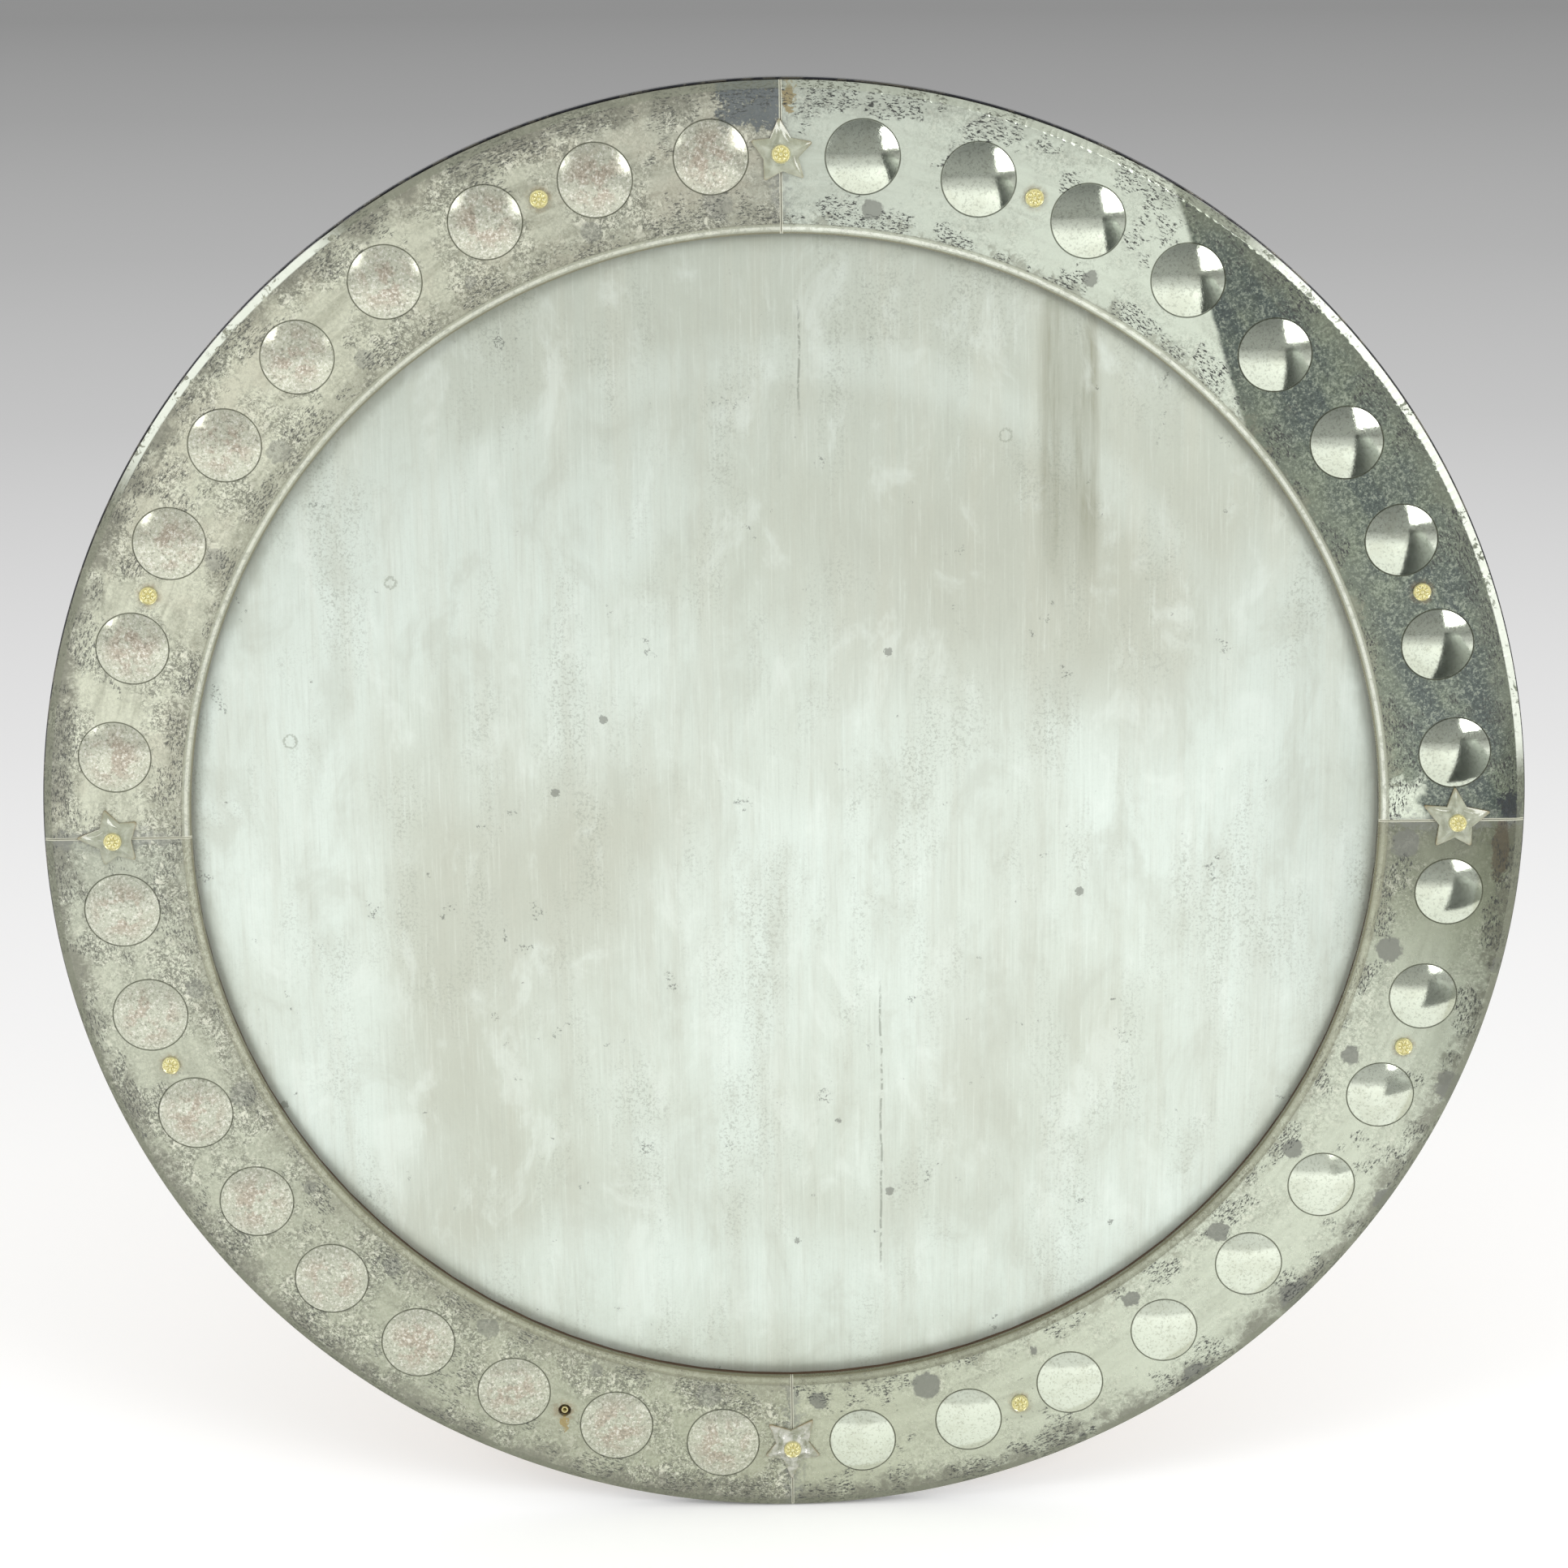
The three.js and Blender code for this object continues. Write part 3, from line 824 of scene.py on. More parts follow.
def aged_and_shaded_ground(b, name, place, where, foxing):
    """The silver's ground colour with its streaks, salt and pepper grain and blush; on the top left quarter it darkens
    towards the top seam, partly tarnish and partly painted shade.
    """
    ageing_and_light = AGEING_AND_LIGHT[name]
    stops = [(stop, paint(*chart)) for stop, chart in ageing_and_light["ground"]]
    shade = b.ramp(b.math("DIVIDE", where["Clock"], QUARTER_TURN), *stops)
    drawn = b.vector("MULTIPLY", where["Unrolled"], (1.0, 6.0, 1.0))
    streaks = b.step(b.noise(drawn, 16.0, 5.0, 0.62, 0.4), 0.42, 0.66)
    darker = b.mix(1.0, shade, paint(196, 195, 190), "MULTIPLY")
    shade = b.mix(share_of(b, streaks, ageing_and_light["streaks"]), shade, darker)
    if ageing_and_light["blush"]:
        rosy = b.step(b.noise(place, 17.0, 4.0, 0.6), 0.47, 0.62)
        shade = tint(b, share_of(b, rosy, 0.35 * ageing_and_light["blush"]), shade, 186, 180, 160)
    area = b.step(b.noise(place, 28.0, 4.0, 0.66), 0.44, 0.58)
    off_circle = b.math("ABSOLUTE", b.math("SUBTRACT", where["Radius"], FIXING_RADIUS))
    edges = b.step(off_circle, 4 * MM, 40 * MM, 0.6, 1.2)
    area = b.math("MULTIPLY", b.math("ADD", area, 0.3), b.math("MULTIPLY", edges, ageing_and_light["salt"]))
    pepper = b.math("MULTIPLY", b.step(foxing["Grain"], 0.45, 0.85), area, clamp=True)
    salt = b.math("MULTIPLY", b.step(foxing["Grain"], 0.45, 0.05), area, clamp=True)
    shade = tint(b, share_of(b, pepper, 0.7), shade, 100, 102, 90)
    shade = tint(b, share_of(b, salt, 0.5), shade, 230, 232, 214)
    flakes = b.noise(place, 150.0, 4.0, 0.72, 0.6)
    line = b.step(b.math("ABSOLUTE", b.math("SUBTRACT", flakes, 0.53)), 0.035, 0.012)
    line = b.math("MULTIPLY", line, area, clamp=True)
    flake = b.math("MULTIPLY", b.step(flakes, 0.56, 0.6), area, clamp=True)
    shade = tint(b, share_of(b, line, 0.55), shade, 106, 107, 94)
    return tint(b, share_of(b, flake, 0.6), shade, 226, 226, 208)


def painted_dark_reflection(b, place, where, foxing, shade):
    """A painted dark reflection, nearly black like darkened silver, right of a slanting edge."""
    start, end = at_clock(*DARK_FROM, 0.0), at_clock(*DARK_TO, 0.0)
    run = (end - start).normalized()
    across = Vector((-run.z, 0.0, run.x))
    side = b.math("SUBTRACT", b.vector("DOT_PRODUCT", place, tuple(across)), across.dot(start))
    wobble = b.math("SUBTRACT", b.noise(place, 70.0, 3.0), 0.5)
    side = b.math("ADD", side, b.math("MULTIPLY", wobble, 5 * MM))
    mask = b.step(side, -1.5 * MM, 2.5 * MM)
    corner_clock, corner_radius = PALE_CORNER
    late = b.math("ADD", where["Clock"], b.math("MULTIPLY", foxing["Mottle"], 1.4))
    low = b.math("ADD", where["Radius"], b.math("MULTIPLY", foxing["Clouds"], 12 * MM))
    pale = b.math("MULTIPLY", b.step(late, corner_clock, corner_clock + 1.6), b.step(low, corner_radius + 8 * MM, corner_radius))
    mask = b.math("MULTIPLY", mask, b.math("SUBTRACT", 1.0, pale))
    slanted = b.vector("DOT_PRODUCT", place, (0.83, 0.0, 0.56))
    along = b.vector("DOT_PRODUCT", place, (-0.56, 0.0, 0.83))
    streaks = b.noise(b.join(b.math("MULTIPLY", slanted, 14.0), 0.0, along), 3.2, 4.0, 0.6, 0.5)
    painted_shade_and_tarnish = b.mix(b.step(streaks, 0.36, 0.62), paint(84, 95, 88), paint(122, 132, 114))
    painted_shade_and_tarnish = tint(b, share_of(b, foxing["Clouds"], 0.5), painted_shade_and_tarnish, 78, 88, 88)
    pepper = b.step(foxing["Grain"], 0.45, 0.95)
    salt = b.step(foxing["Grain"], 0.42, 0.0)
    painted_shade_and_tarnish = tint(b, share_of(b, pepper, 0.6), painted_shade_and_tarnish, 52, 60, 56)
    painted_shade_and_tarnish = tint(b, share_of(b, salt, 0.6), painted_shade_and_tarnish, 168, 176, 158)
    edges = b.step(b.math("ABSOLUTE", b.math("SUBTRACT", where["Radius"], FIXING_RADIUS)), 22 * MM, 48 * MM)
    painted_shade_and_tarnish = tint(b, share_of(b, edges, 0.45), painted_shade_and_tarnish, 138, 146, 122)
    return b.mix(mask, shade, painted_shade_and_tarnish), mask


@shared
def quarter_silver(name):
    """Old silvered glass of one border quarter, with painted light and shade on its bevels and lenses and, on the top
    right quarter, a painted dark reflection.
    """
    sizes = bpy.context.scene.mirror_border
    ageing_and_light = AGEING_AND_LIGHT[name]
    colour = colours()
    material, b, shader, place = new_finish(f"{name} silver")
    start = seam_clock(name, QUARTER_NAMES)
    where = b.group(ring_place_group(), {"Position": place, "Start": start})
    foxing = b.group(foxing_group(), {"Position": place, "Size": 26 * MM})
    clock, radius = where["Clock"], where["Radius"]

    edge_radius = RIM_RADIUS - sizes.reveal
    to_inner = b.math("SUBTRACT", radius, edge_radius - sizes.width)
    to_outer = b.math("SUBTRACT", edge_radius, radius)
    turn = b.math("RADIANS", clock)
    to_first_seam = b.math("MULTIPLY", radius, b.math("SINE", turn))
    to_last_seam = b.math("MULTIPLY", radius, b.math("COSINE", turn))
    to_seam = b.math("MINIMUM", to_first_seam, to_last_seam)
    lens_radius = QUARTERS[name]["lens"] / 2
    lens = spots(b, where, QUARTERS[name]["first"], lens_pitch(name), LENSES - 1, FIXING_RADIUS)
    in_lens = b.step(lens, lens_radius, lens_radius - 0.5 * MM)
    first_cap, last_cap = cap_clocks(name)
    cap = spots(b, where, first_cap, last_cap - first_cap, 1, FIXING_RADIUS)

    shade = aged_and_shaded_ground(b, name, place, where, foxing)
    dark_reflection_mask = 0.0
    # The top right quarter gets a painted dark reflection
    if name == "top_right":
        shade, dark_reflection_mask = painted_dark_reflection(b, place, where, foxing, shade)

    # Brown and grey stains at the rim, the seams, the plate and round the caps
    rough = b.math("MULTIPLY", b.math("SUBTRACT", foxing["Mottle"], 0.5), 10 * MM)
    broad = b.math("MULTIPLY", b.math("SUBTRACT", foxing["Clouds"], 0.5), 12 * MM)
    rim = b.step(b.math("ADD", b.math("ADD", to_outer, rough), broad), 22 * MM, 2 * MM)
    shade = tint(b, share_of(b, rim, ageing_and_light["stained_rim"]), shade, 112, 112, 98)
    seam = b.step(b.math("ADD", to_seam, rough), 9 * MM, 0.0)
    shade = tint(b, share_of(b, seam, 0.6), shade, 118, 121, 116)
    reach = 28 * MM if ageing_and_light["blush"] else 12 * MM
    within = b.step(b.math("ADD", b.math("ADD", to_inner, rough), broad), reach, 3 * MM)
    shade = tint(b, share_of(b, within, 0.5), shade, 132, 132, 114)
    halo = b.math("MULTIPLY", b.step(cap, 11 * MM, 6 * MM), foxing["Mottle"])
    shade = b.mix(share_of(b, halo, 0.5), shade, rgba(colour.rust))
    if name == "top_left":
        aside, inwards = SLATE_REACH
        slate = b.step(b.math("ADD", to_last_seam, rough), aside, aside - 4 * MM)
        slate = b.math("MULTIPLY", slate, b.step(b.math("ADD", to_outer, rough), inwards, inwards - 4 * MM))
        slate = b.math("MULTIPLY", slate, b.step(foxing["Grain"], 1.0, 0.75))
        shade = tint(b, share_of(b, slate, 0.92), shade, 92, 99, 101)

    # Stains beside the right seam, the top seam and under the bare socket
    if name == "top_right":
        navy = stain(b, place, rough, at_clock(89.0, 513 * MM, 0), 9 * MM, 14 * MM)
        shade = tint(b, share_of(b, navy, 0.9), shade, 62, 66, 70)
        ochre = stain(b, place, rough, at_clock(0.6, 514 * MM, 0), 5 * MM, 12 * MM)
        shade = tint(b, share_of(b, ochre, 0.75), shade, 150, 132, 84)
    if name == "bottom_right":
        brown = stain(b, place, rough, at_clock(92.6, 508 * MM, 0), 7 * MM, 26 * MM)
        shade = tint(b, share_of(b, brown, 0.7), shade, 92, 82, 66)
    if name == "bottom_left":
        drip = BARE_SOCKET + Vector((-0.5 * MM, 0.0, -9 * MM))
        shade = tint(b, share_of(b, stain(b, place, rough, drip, 2.6 * MM, 7 * MM), 0.8), shade, 156, 134, 74)

    # Lenses: clearer silver, blushed and speckled where the quarter is foxed, with a painted dark line of shade in the
    # groove round each and, on the bottom right quarter, painted shade on each lens's outer side
    if ageing_and_light["blush"]:
        clear = tint(b, 0.5, shade, 204, 207, 188)
        blush = b.step(lens, lens_radius * 1.05, lens_radius * 0.35)
        patches = b.step(b.noise(place, 70.0, 4.0, 0.68), 0.44, 0.56)
        clear = tint(b, share_of(b, b.math("MULTIPLY", blush, patches), 0.75), clear, 172, 158, 140)
        clear = tint(b, share_of(b, b.step(foxing["Grain"], 0.66, 0.92), 0.7), clear, 240, 239, 226)
        clear = tint(b, share_of(b, b.step(foxing["Grain"], 0.26, 0.08), 0.6), clear, 112, 110, 98)
    else:
        clear = tint(b, 0.92, shade, 224, 231, 214)
        cloudy = b.step(b.noise(place, 55.0, 4.0, 0.66), 0.45, 0.62)
        clear = tint(b, share_of(b, cloudy, 0.35), clear, 196, 200, 180)
        clear = tint(b, share_of(b, b.step(foxing["Grain"], 0.62, 0.9), 0.35), clear, 138, 142, 126)
    shade = b.mix(in_lens, shade, clear)
    # Painted shade: a dark line in the groove round each lens
    outline = b.math("ABSOLUTE", b.math("SUBTRACT", lens, lens_radius + 0.3 * MM))
    outline = b.step(outline, 0.8 * MM, 0.2 * MM)
    shade = tint(b, share_of(b, outline, 0.75), shade, 92, 94, 78)
    # Painted shade on the outer side of each lens of the bottom right quarter
    painted_lens_side_shade = b.step(b.math("SUBTRACT", radius, FIXING_RADIUS), lens_radius * 0.72, lens_radius * 0.86)
    if name == "bottom_right":
        shade = tint(b, share_of(b, b.math("MULTIPLY", painted_lens_side_shade, in_lens), 0.4), shade, 150, 152, 120)

    # Grey blots of glue, and half blots cut by the rim
    off_lens = b.step(lens, lens_radius, lens_radius + 1 * MM)
    *row, size = ageing_and_light["glue"]
    blot = ragged_blot(b, place, spots(b, where, *row), size)
    if ageing_and_light["rim_spots"]:
        *row, size = ageing_and_light["rim_spots"]
        blot = b.math("MAXIMUM", blot, ragged_blot(b, place, spots(b, where, *row), size))
    blot = b.math("MULTIPLY", blot, off_lens)
    strength = 0.5 if ageing_and_light["blush"] else 0.8
    shade = b.mix(share_of(b, blot, strength), shade, rgba(colour.blot))

    # Black flecks, thickest near both edges
    edges = b.math("MAXIMUM", b.step(to_inner, 34 * MM, 8 * MM), b.step(to_outer, 38 * MM, 12 * MM))
    amount = b.math("ADD", b.math("MULTIPLY", edges, ageing_and_light["edge_flecks"]), ageing_and_light["flecks"])
    amount = b.math("SUBTRACT", amount, b.math("MULTIPLY", in_lens, 0.3))
    inputs = {"Position": where["Unrolled"], "Size": 8.5 * MM, "Stretch": 2.6, "Amount": amount}
    flecks = b.group(flecks_group(), inputs)["Mask"]
    shade = b.mix(share_of(b, flecks, ageing_and_light["fleck_share"]), shade, rgba(colour.fleck))

    # Cut bevels: a painted highlight on the outer bevel of the top quarters; the inner bevel painted lit on the top
    # quarters and shaded on the bottom ones, with painted shade where it meets the face and a line of rust and painted
    # shade at the glass's edge
    outer = b.step(to_outer, sizes.outer_bevel + 0.5 * MM, sizes.outer_bevel - 0.5 * MM)
    shade = tint(b, share_of(b, outer, 0.45), shade, 122, 126, 108)
    # Painted highlight: a pale ragged streak along the outer bevel of the top quarters, where it catches the light
    bright = 0.0
    if ageing_and_light["bright_bevel"]:
        strength, begin, end = ageing_and_light["bright_bevel"]
        patchy = b.math("ADD", foxing["Mottle"], b.math("MULTIPLY", foxing["Clouds"], 0.6))
        bright = b.math("MULTIPLY", outer, b.step(patchy, 1.4, 1.1))
        bright = b.math("MULTIPLY", bright, b.step(clock, begin, begin + 6.0))
        bright = b.math("MULTIPLY", bright, b.step(clock, end, end - 4.0))
        bright = b.math("MULTIPLY", bright, strength)
        shade = tint(b, bright, shade, 226, 231, 218)
    # Painted light and shade of the inner bevel: pale tones on the top quarters, where it would reflect the floor, and
    # dark olive on the bottom ones, where it lies in shade; crest is the tone of a painted highlight line along it
    inner = b.step(to_inner, sizes.inner_bevel + 0.4 * MM, sizes.inner_bevel - 0.4 * MM)
    bevel_painted_highlight = b.step(b.math("ABSOLUTE", b.math("SUBTRACT", to_inner, 3.6 * MM)), 1.6 * MM, 0.6 * MM)
    bevel_painted_highlight = b.math("MULTIPLY", bevel_painted_highlight, b.step(foxing["Mottle"], 0.0, 0.5, 0.4, 1.0))
    painted_bevel_shade = b.mix(ageing_and_light["inner_bevel_painted_lit"], paint(156, 156, 130), paint(172, 176, 158))
    crest = b.mix(ageing_and_light["inner_bevel_painted_lit"], paint(192, 194, 168), paint(234, 237, 224))
    strength = 0.4 + 0.3 * ageing_and_light["inner_bevel_painted_lit"]
    shade = b.mix(share_of(b, inner, strength), shade, b.mix(bevel_painted_highlight, painted_bevel_shade, crest))
    # Painted shade: a dark line where the inner bevel meets the flat face
    start = b.step(b.math("ABSOLUTE", b.math("SUBTRACT", to_inner, sizes.inner_bevel)), 0.9 * MM, 0.2 * MM)
    shade = tint(b, share_of(b, start, 0.35), shade, 116, 116, 96)
    # A dark line at the glass's inner edge, partly rust and partly painted shade
    edge = b.step(to_inner, 1.8 * MM, 0.6 * MM)
    shade = tint(b, share_of(b, edge, 0.75), shade, 100, 96, 66)
    ground_end = sizes.seam_gap / 2 + sizes.seam_chamfer
    arris = b.step(to_seam, ground_end + 0.2 * MM, ground_end - 0.2 * MM)
    shade = tint(b, share_of(b, arris, 0.8), shade, 208, 208, 188)

    b.put(shader["Base Color"], shade)
    lens_metal = ageing_and_light["lens_metal"]
    if name == "bottom_right":
        lens_metal = b.step(clock, 8.0, 50.0, lens_metal, 0.4)
    metal = b.between(in_lens, ageing_and_light["metal"], lens_metal)
    metal = b.between(b.math("MULTIPLY", inner, ageing_and_light["inner_bevel_painted_lit"]), metal, 0.5)
    metal = b.between(b.math("MAXIMUM", outer, arris), metal, 0.2)
    dull = b.math("MAXIMUM", b.math("MAXIMUM", flecks, blot), b.math("MULTIPLY", seam, 0.5))
    b.put(shader["Metallic"], b.math("MULTIPLY", metal, b.math("SUBTRACT", 1.0, dull)))
    rough = b.between(in_lens, ageing_and_light["roughness"], ageing_and_light["lens_roughness"])
    grainy = b.math("MULTIPLY", foxing["Mottle"], 0.1 * ageing_and_light["salt"] + 0.03)
    rough = b.math("ADD", rough, grainy)
    rough = b.math("ADD", rough, b.math("MULTIPLY", outer, 0.25))
    b.put(shader["Roughness"], b.math("ADD", rough, b.math("MULTIPLY", dull, 0.25)))
    b.put(shader["Coat Weight"], b.between(outer, 0.6, 0.05))
    shader["Coat Roughness"].default_value = 0.06
    waves = b.noise(place, 24.0, 2.0, 0.5)
    height = b.math("ADD", waves, b.math("MULTIPLY", foxing["Grain"], 0.03))
    relief(b, shader, height, 0.25, 1.2 * MM)
    return material


# Soft clouds of the plate: middle across and up, half width, half height, and share.
# Warm ones are brownish grey, cool ones pale.
WARM_CLOUDS = (
    (-0.150, -0.015, 0.12, 0.15, 0.7),
    (0.150, 0.200, 0.17, 0.12, 0.75),
    (-0.250, -0.150, 0.06, 0.22, 0.55),
    (-0.040, 0.350, 0.34, 0.08, 0.45),
    (0.150, -0.150, 0.06, 0.22, 0.45),
    (-0.140, -0.290, 0.20, 0.06, 0.35),
    (0.290, 0.180, 0.10, 0.14, 0.4),
)
COOL_CLOUDS = (
    (-0.150, 0.090, 0.15, 0.07, 0.7),
    (0.060, -0.060, 0.17, 0.14, 0.7),
    (0.350, -0.020, 0.07, 0.24, 0.9),
    (-0.010, -0.345, 0.30, 0.06, 0.8),
    (-0.345, -0.030, 0.06, 0.24, 0.8),
    (-0.240, 0.210, 0.12, 0.10, 0.9),
    (0.240, -0.260, 0.12, 0.10, 0.5),
)
# Worn lines of the plate: place across, lower end and upper end
WORN_LINES = ((11 * MM, 0.285, 0.392), (66 * MM, -0.35, -0.1))


def soft_patch(b, x, z, across, up, half_width, half_height):
    aside = b.math("DIVIDE", b.math("SUBTRACT", x, across), half_width)
    above = b.math("DIVIDE", b.math("SUBTRACT", z, up), half_height)
    return b.step(b.vector("LENGTH", b.join(aside, above, 0.0)), 1.35, 0.15)


def wandering(b, value, size, scale, other):
    """The value moved to and fro by a slow noise."""
    drift = b.math("SUBTRACT", b.noise(other, scale, 3.0, 0.55), 0.5)
    return b.math("ADD", value, b.math("MULTIPLY", drift, size))


def cell_spots(b, flat, scale, share):
    """Cells of a loose net: distance to each middle, a size, and 1 in the share that is used."""
    cells = b.node("ShaderNodeTexVoronoi", {"Vector": flat, "Scale": scale, "Randomness": 1.0})
    chance, size, _ = b.split(cells.outputs["Color"])
    return cells.outputs["Distance"], size, b.math("LESS_THAN", chance, share)


@shared
def plate_silver():
    """Old silver of the domed plate: milky clouds, vertical wear, specks and ring blisters, with painted shade towards
    its top and edge and a painted reflection arc.
    """
    colour = colours()
    material, b, shader, place = new_finish("Plate silver")
    x, _, z = b.split(place)
    flat = b.join(x, 0.0, z)
    radius = b.vector("LENGTH", flat)
    foxing = b.group(foxing_group(), {"Position": place, "Size": 26 * MM})

    # Clouds, with painted shade towards the top and a painted reflection arc
    soft_x = wandering(b, x, 0.16, 5.0, place)
    soft_z = wandering(b, z, 0.16, 5.0, b.vector("ADD", place, (3.0, 1.0, 7.0)))
    broad = b.noise(place, 6.0, 3.0, 0.5, 0.3)
    shade = b.mix(b.step(broad, 0.3, 0.7), paint(202, 209, 196), rgba(colour.plate_cool))
    for *patch, share in WARM_CLOUDS:
        shade = b.mix(share_of(b, soft_patch(b, soft_x, soft_z, *patch), share), shade, rgba(colour.plate_warm))
    for *patch, share in COOL_CLOUDS:
        shade = b.mix(share_of(b, soft_patch(b, soft_x, soft_z, *patch), share), shade, rgba(colour.plate_cool))
    # Painted shade: darker towards the plate's top
    shade = tint(b, share_of(b, b.step(z, 0.12, 0.42), 0.75), shade, 192, 198, 184)
    # Painted reflection: a pale arc of reflected light round the upper part of the plate
    arc = b.step(b.math("ABSOLUTE", b.math("SUBTRACT", radius, 0.335)), 26 * MM, 4 * MM)
    arc = b.math("MULTIPLY", arc, b.step(wandering(b, z, 0.1, 9.0, place), 0.1, 0.25))
    shade = tint(b, share_of(b, arc, 0.35), shade, 222, 232, 223)

    # Vertical wear
    drawn = b.noise(b.join(b.math("MULTIPLY", x, 12.0), 0.0, z), 4.0, 6.0, 0.66)
    streaks = b.step(drawn, 0.42, 0.66)
    shade = tint(b, share_of(b, streaks, 0.26), shade, 190, 190, 174)
    fibres = b.noise(b.join(b.math("MULTIPLY", x, 30.0), 0.0, z), 16.0, 4.0, 0.7)
    shade = tint(b, share_of(b, b.step(fibres, 0.5, 0.7), 0.2), shade, 170, 174, 162)
    shade = tint(b, share_of(b, b.step(fibres, 0.46, 0.34), 0.2), shade, 236, 243, 236)
    band = b.math("MULTIPLY", b.step(x, 0.172, 0.186), b.step(x, 0.222, 0.212))
    band = b.math("MULTIPLY", band, b.step(z, 0.15, 0.24))
    band = b.math("MULTIPLY", band, b.step(z, 0.42, 0.33))
    band = b.math("MULTIPLY", band, b.math("ADD", 0.35, b.math("MULTIPLY", streaks, 0.65)))
    shade = tint(b, share_of(b, band, 0.9), shade, 142, 142, 121)
    for across, low, high in WORN_LINES:
        bent = wandering(b, x, 6 * MM, 22.0, b.join(0.0, across, z))
        off = b.math("ABSOLUTE", b.math("SUBTRACT", bent, across))
        line = b.math("MULTIPLY", b.step(off, 1.2 * MM, 0.3 * MM), b.step(z, low, low + 30 * MM))
        line = b.math("MULTIPLY", line, b.step(z, high, high - 30 * MM))
        line = b.math("MULTIPLY", line, b.step(foxing["Mottle"], 0.2, 0.6))
        shade = tint(b, share_of(b, line, 0.6), shade, 120, 124, 112)

    # Stipple, specks, ring blisters and pinholes
    area = b.step(b.noise(b.join(b.math("MULTIPLY", x, 2.5), 0.0, z), 7.0, 5.0, 0.66), 0.48, 0.66)
    stipple = b.math("MULTIPLY", b.step(foxing["Grain"], 0.52, 0.9), b.math("ADD", 0.12, area))
    shade = tint(b, share_of(b, stipple, 0.38), shade, 142, 147, 134)
    wash = b.noise(b.join(b.math("MULTIPLY", x, 1.8), 0.0, z), 13.0, 5.0, 0.66, 0.5)
    shade = tint(b, share_of(b, b.step(wash, 0.5, 0.68), 0.35), shade, 184, 188, 174)
    shade = tint(b, share_of(b, b.step(wash, 0.48, 0.32), 0.35), shade, 232, 240, 232)
    ragged = b.math("MULTIPLY", b.math("SUBTRACT", foxing["Grain"], 0.5), 0.05)
    distance, size, used = cell_spots(b, flat, 30.0, 0.26)
    edge = b.math("ADD", 0.02, b.math("MULTIPLY", size, 0.07))
    away = b.math("ADD", distance, ragged)
    speck = b.math("MULTIPLY", b.step(away, b.math("ADD", edge, 0.012), edge), used)
    shade = tint(b, share_of(b, speck, 0.65), shade, 96, 98, 90)
    distance, size, used = cell_spots(b, flat, 14.0, 0.22)
    edge = b.math("ADD", 0.035, b.math("MULTIPLY", size, 0.03))
    away = b.math("ADD", distance, b.math("MULTIPLY", ragged, 0.4))
    ring = b.step(b.math("ABSOLUTE", b.math("SUBTRACT", away, edge)), 0.014, 0.004)
    blister = b.math("MULTIPLY", ring, used)
    shade = tint(b, share_of(b, blister, 0.45), shade, 128, 132, 116)
    inputs = {"Position": place, "Size": 5 * MM, "Stretch": 1.0, "Amount": 0.02}
    flecks = b.group(flecks_group(), inputs)["Mask"]
    shade = b.mix(share_of(b, flecks, 0.6), shade, rgba(colour.fleck))

    # The edge is darkened by painted shade from the border and by tarnish
    painted_shade_and_tarnish = b.math("ADD", radius, b.math("MULTIPLY", b.math("SUBTRACT", foxing["Clouds"], 0.5), 6 * MM))
    edge = b.step(painted_shade_and_tarnish, PLATE_RADIUS - 24 * MM, PLATE_RADIUS - 7 * MM)
    shade = tint(b, share_of(b, edge, 0.32), shade, 130, 134, 114)

    b.put(shader["Base Color"], shade)
    dull = b.math("MAXIMUM", speck, flecks)
    b.put(shader["Metallic"], b.math("SUBTRACT", 0.35, b.math("MULTIPLY", dull, 0.3)))
    rough = b.math("ADD", 0.32, b.math("MULTIPLY", streaks, 0.08))
    b.put(shader["Roughness"], b.math("ADD", rough, b.math("MULTIPLY", blister, 0.15)))
    shader["Coat Weight"].default_value = 0.25
    shader["Coat Roughness"].default_value = 0.25
    height = b.math("ADD", b.noise(place, 10.0, 2.0), b.math("MULTIPLY", blister, 0.12))
    relief(b, shader, height, 0.2, 1.5 * MM)
    return material


@shared
def star_glass():
    """Moulded glass, milky with age, with painted shade low on its arms and old varnish in the hollows of its edges."""
    material, b, shader, place = new_finish("Star glass")
    cloud = b.noise(place, 160.0, 4.0, 0.6)
    _, y, z = b.split(place)
    low = b.step(y, FORMER_FRONT - 7.6 * MM, FORMER_FRONT - 6.2 * MM)
    white = b.step(z, 0.0, -FIXING_RADIUS / 2)
    milky = b.mix(white, rgba(colours().star_glass), paint(240, 240, 230))
    milky = b.mix(b.step(cloud, 0.35, 0.65), milky, paint(176, 180, 158))
    # Painted shade: darker low down, towards the edges of the arms
    painted_low_shade = b.step(y, FORMER_FRONT - 10 * MM, FORMER_FRONT - 7 * MM)
    milky = b.mix(b.math("MULTIPLY", painted_low_shade, 0.4), milky, paint(150, 152, 126))
    old = b.math("MULTIPLY", low, b.step(b.noise(place, 90.0, 3.0), 0.3, 0.55, 0.35, 0.9))
    b.put(shader["Base Color"], b.mix(old, milky, paint(160, 138, 92)))
    b.put(shader["Roughness"], b.math("ADD", 0.1, b.math("MULTIPLY", cloud, 0.16)))
    shader["IOR"].default_value = 1.5
    shader["Transmission Weight"].default_value = 0.25
    shader["Coat Weight"].default_value = 0.8
    shader["Coat Roughness"].default_value = 0.05
    relief(b, shader, b.noise(place, 400.0, 2.0), 0.15, 0.4 * MM)
    return material


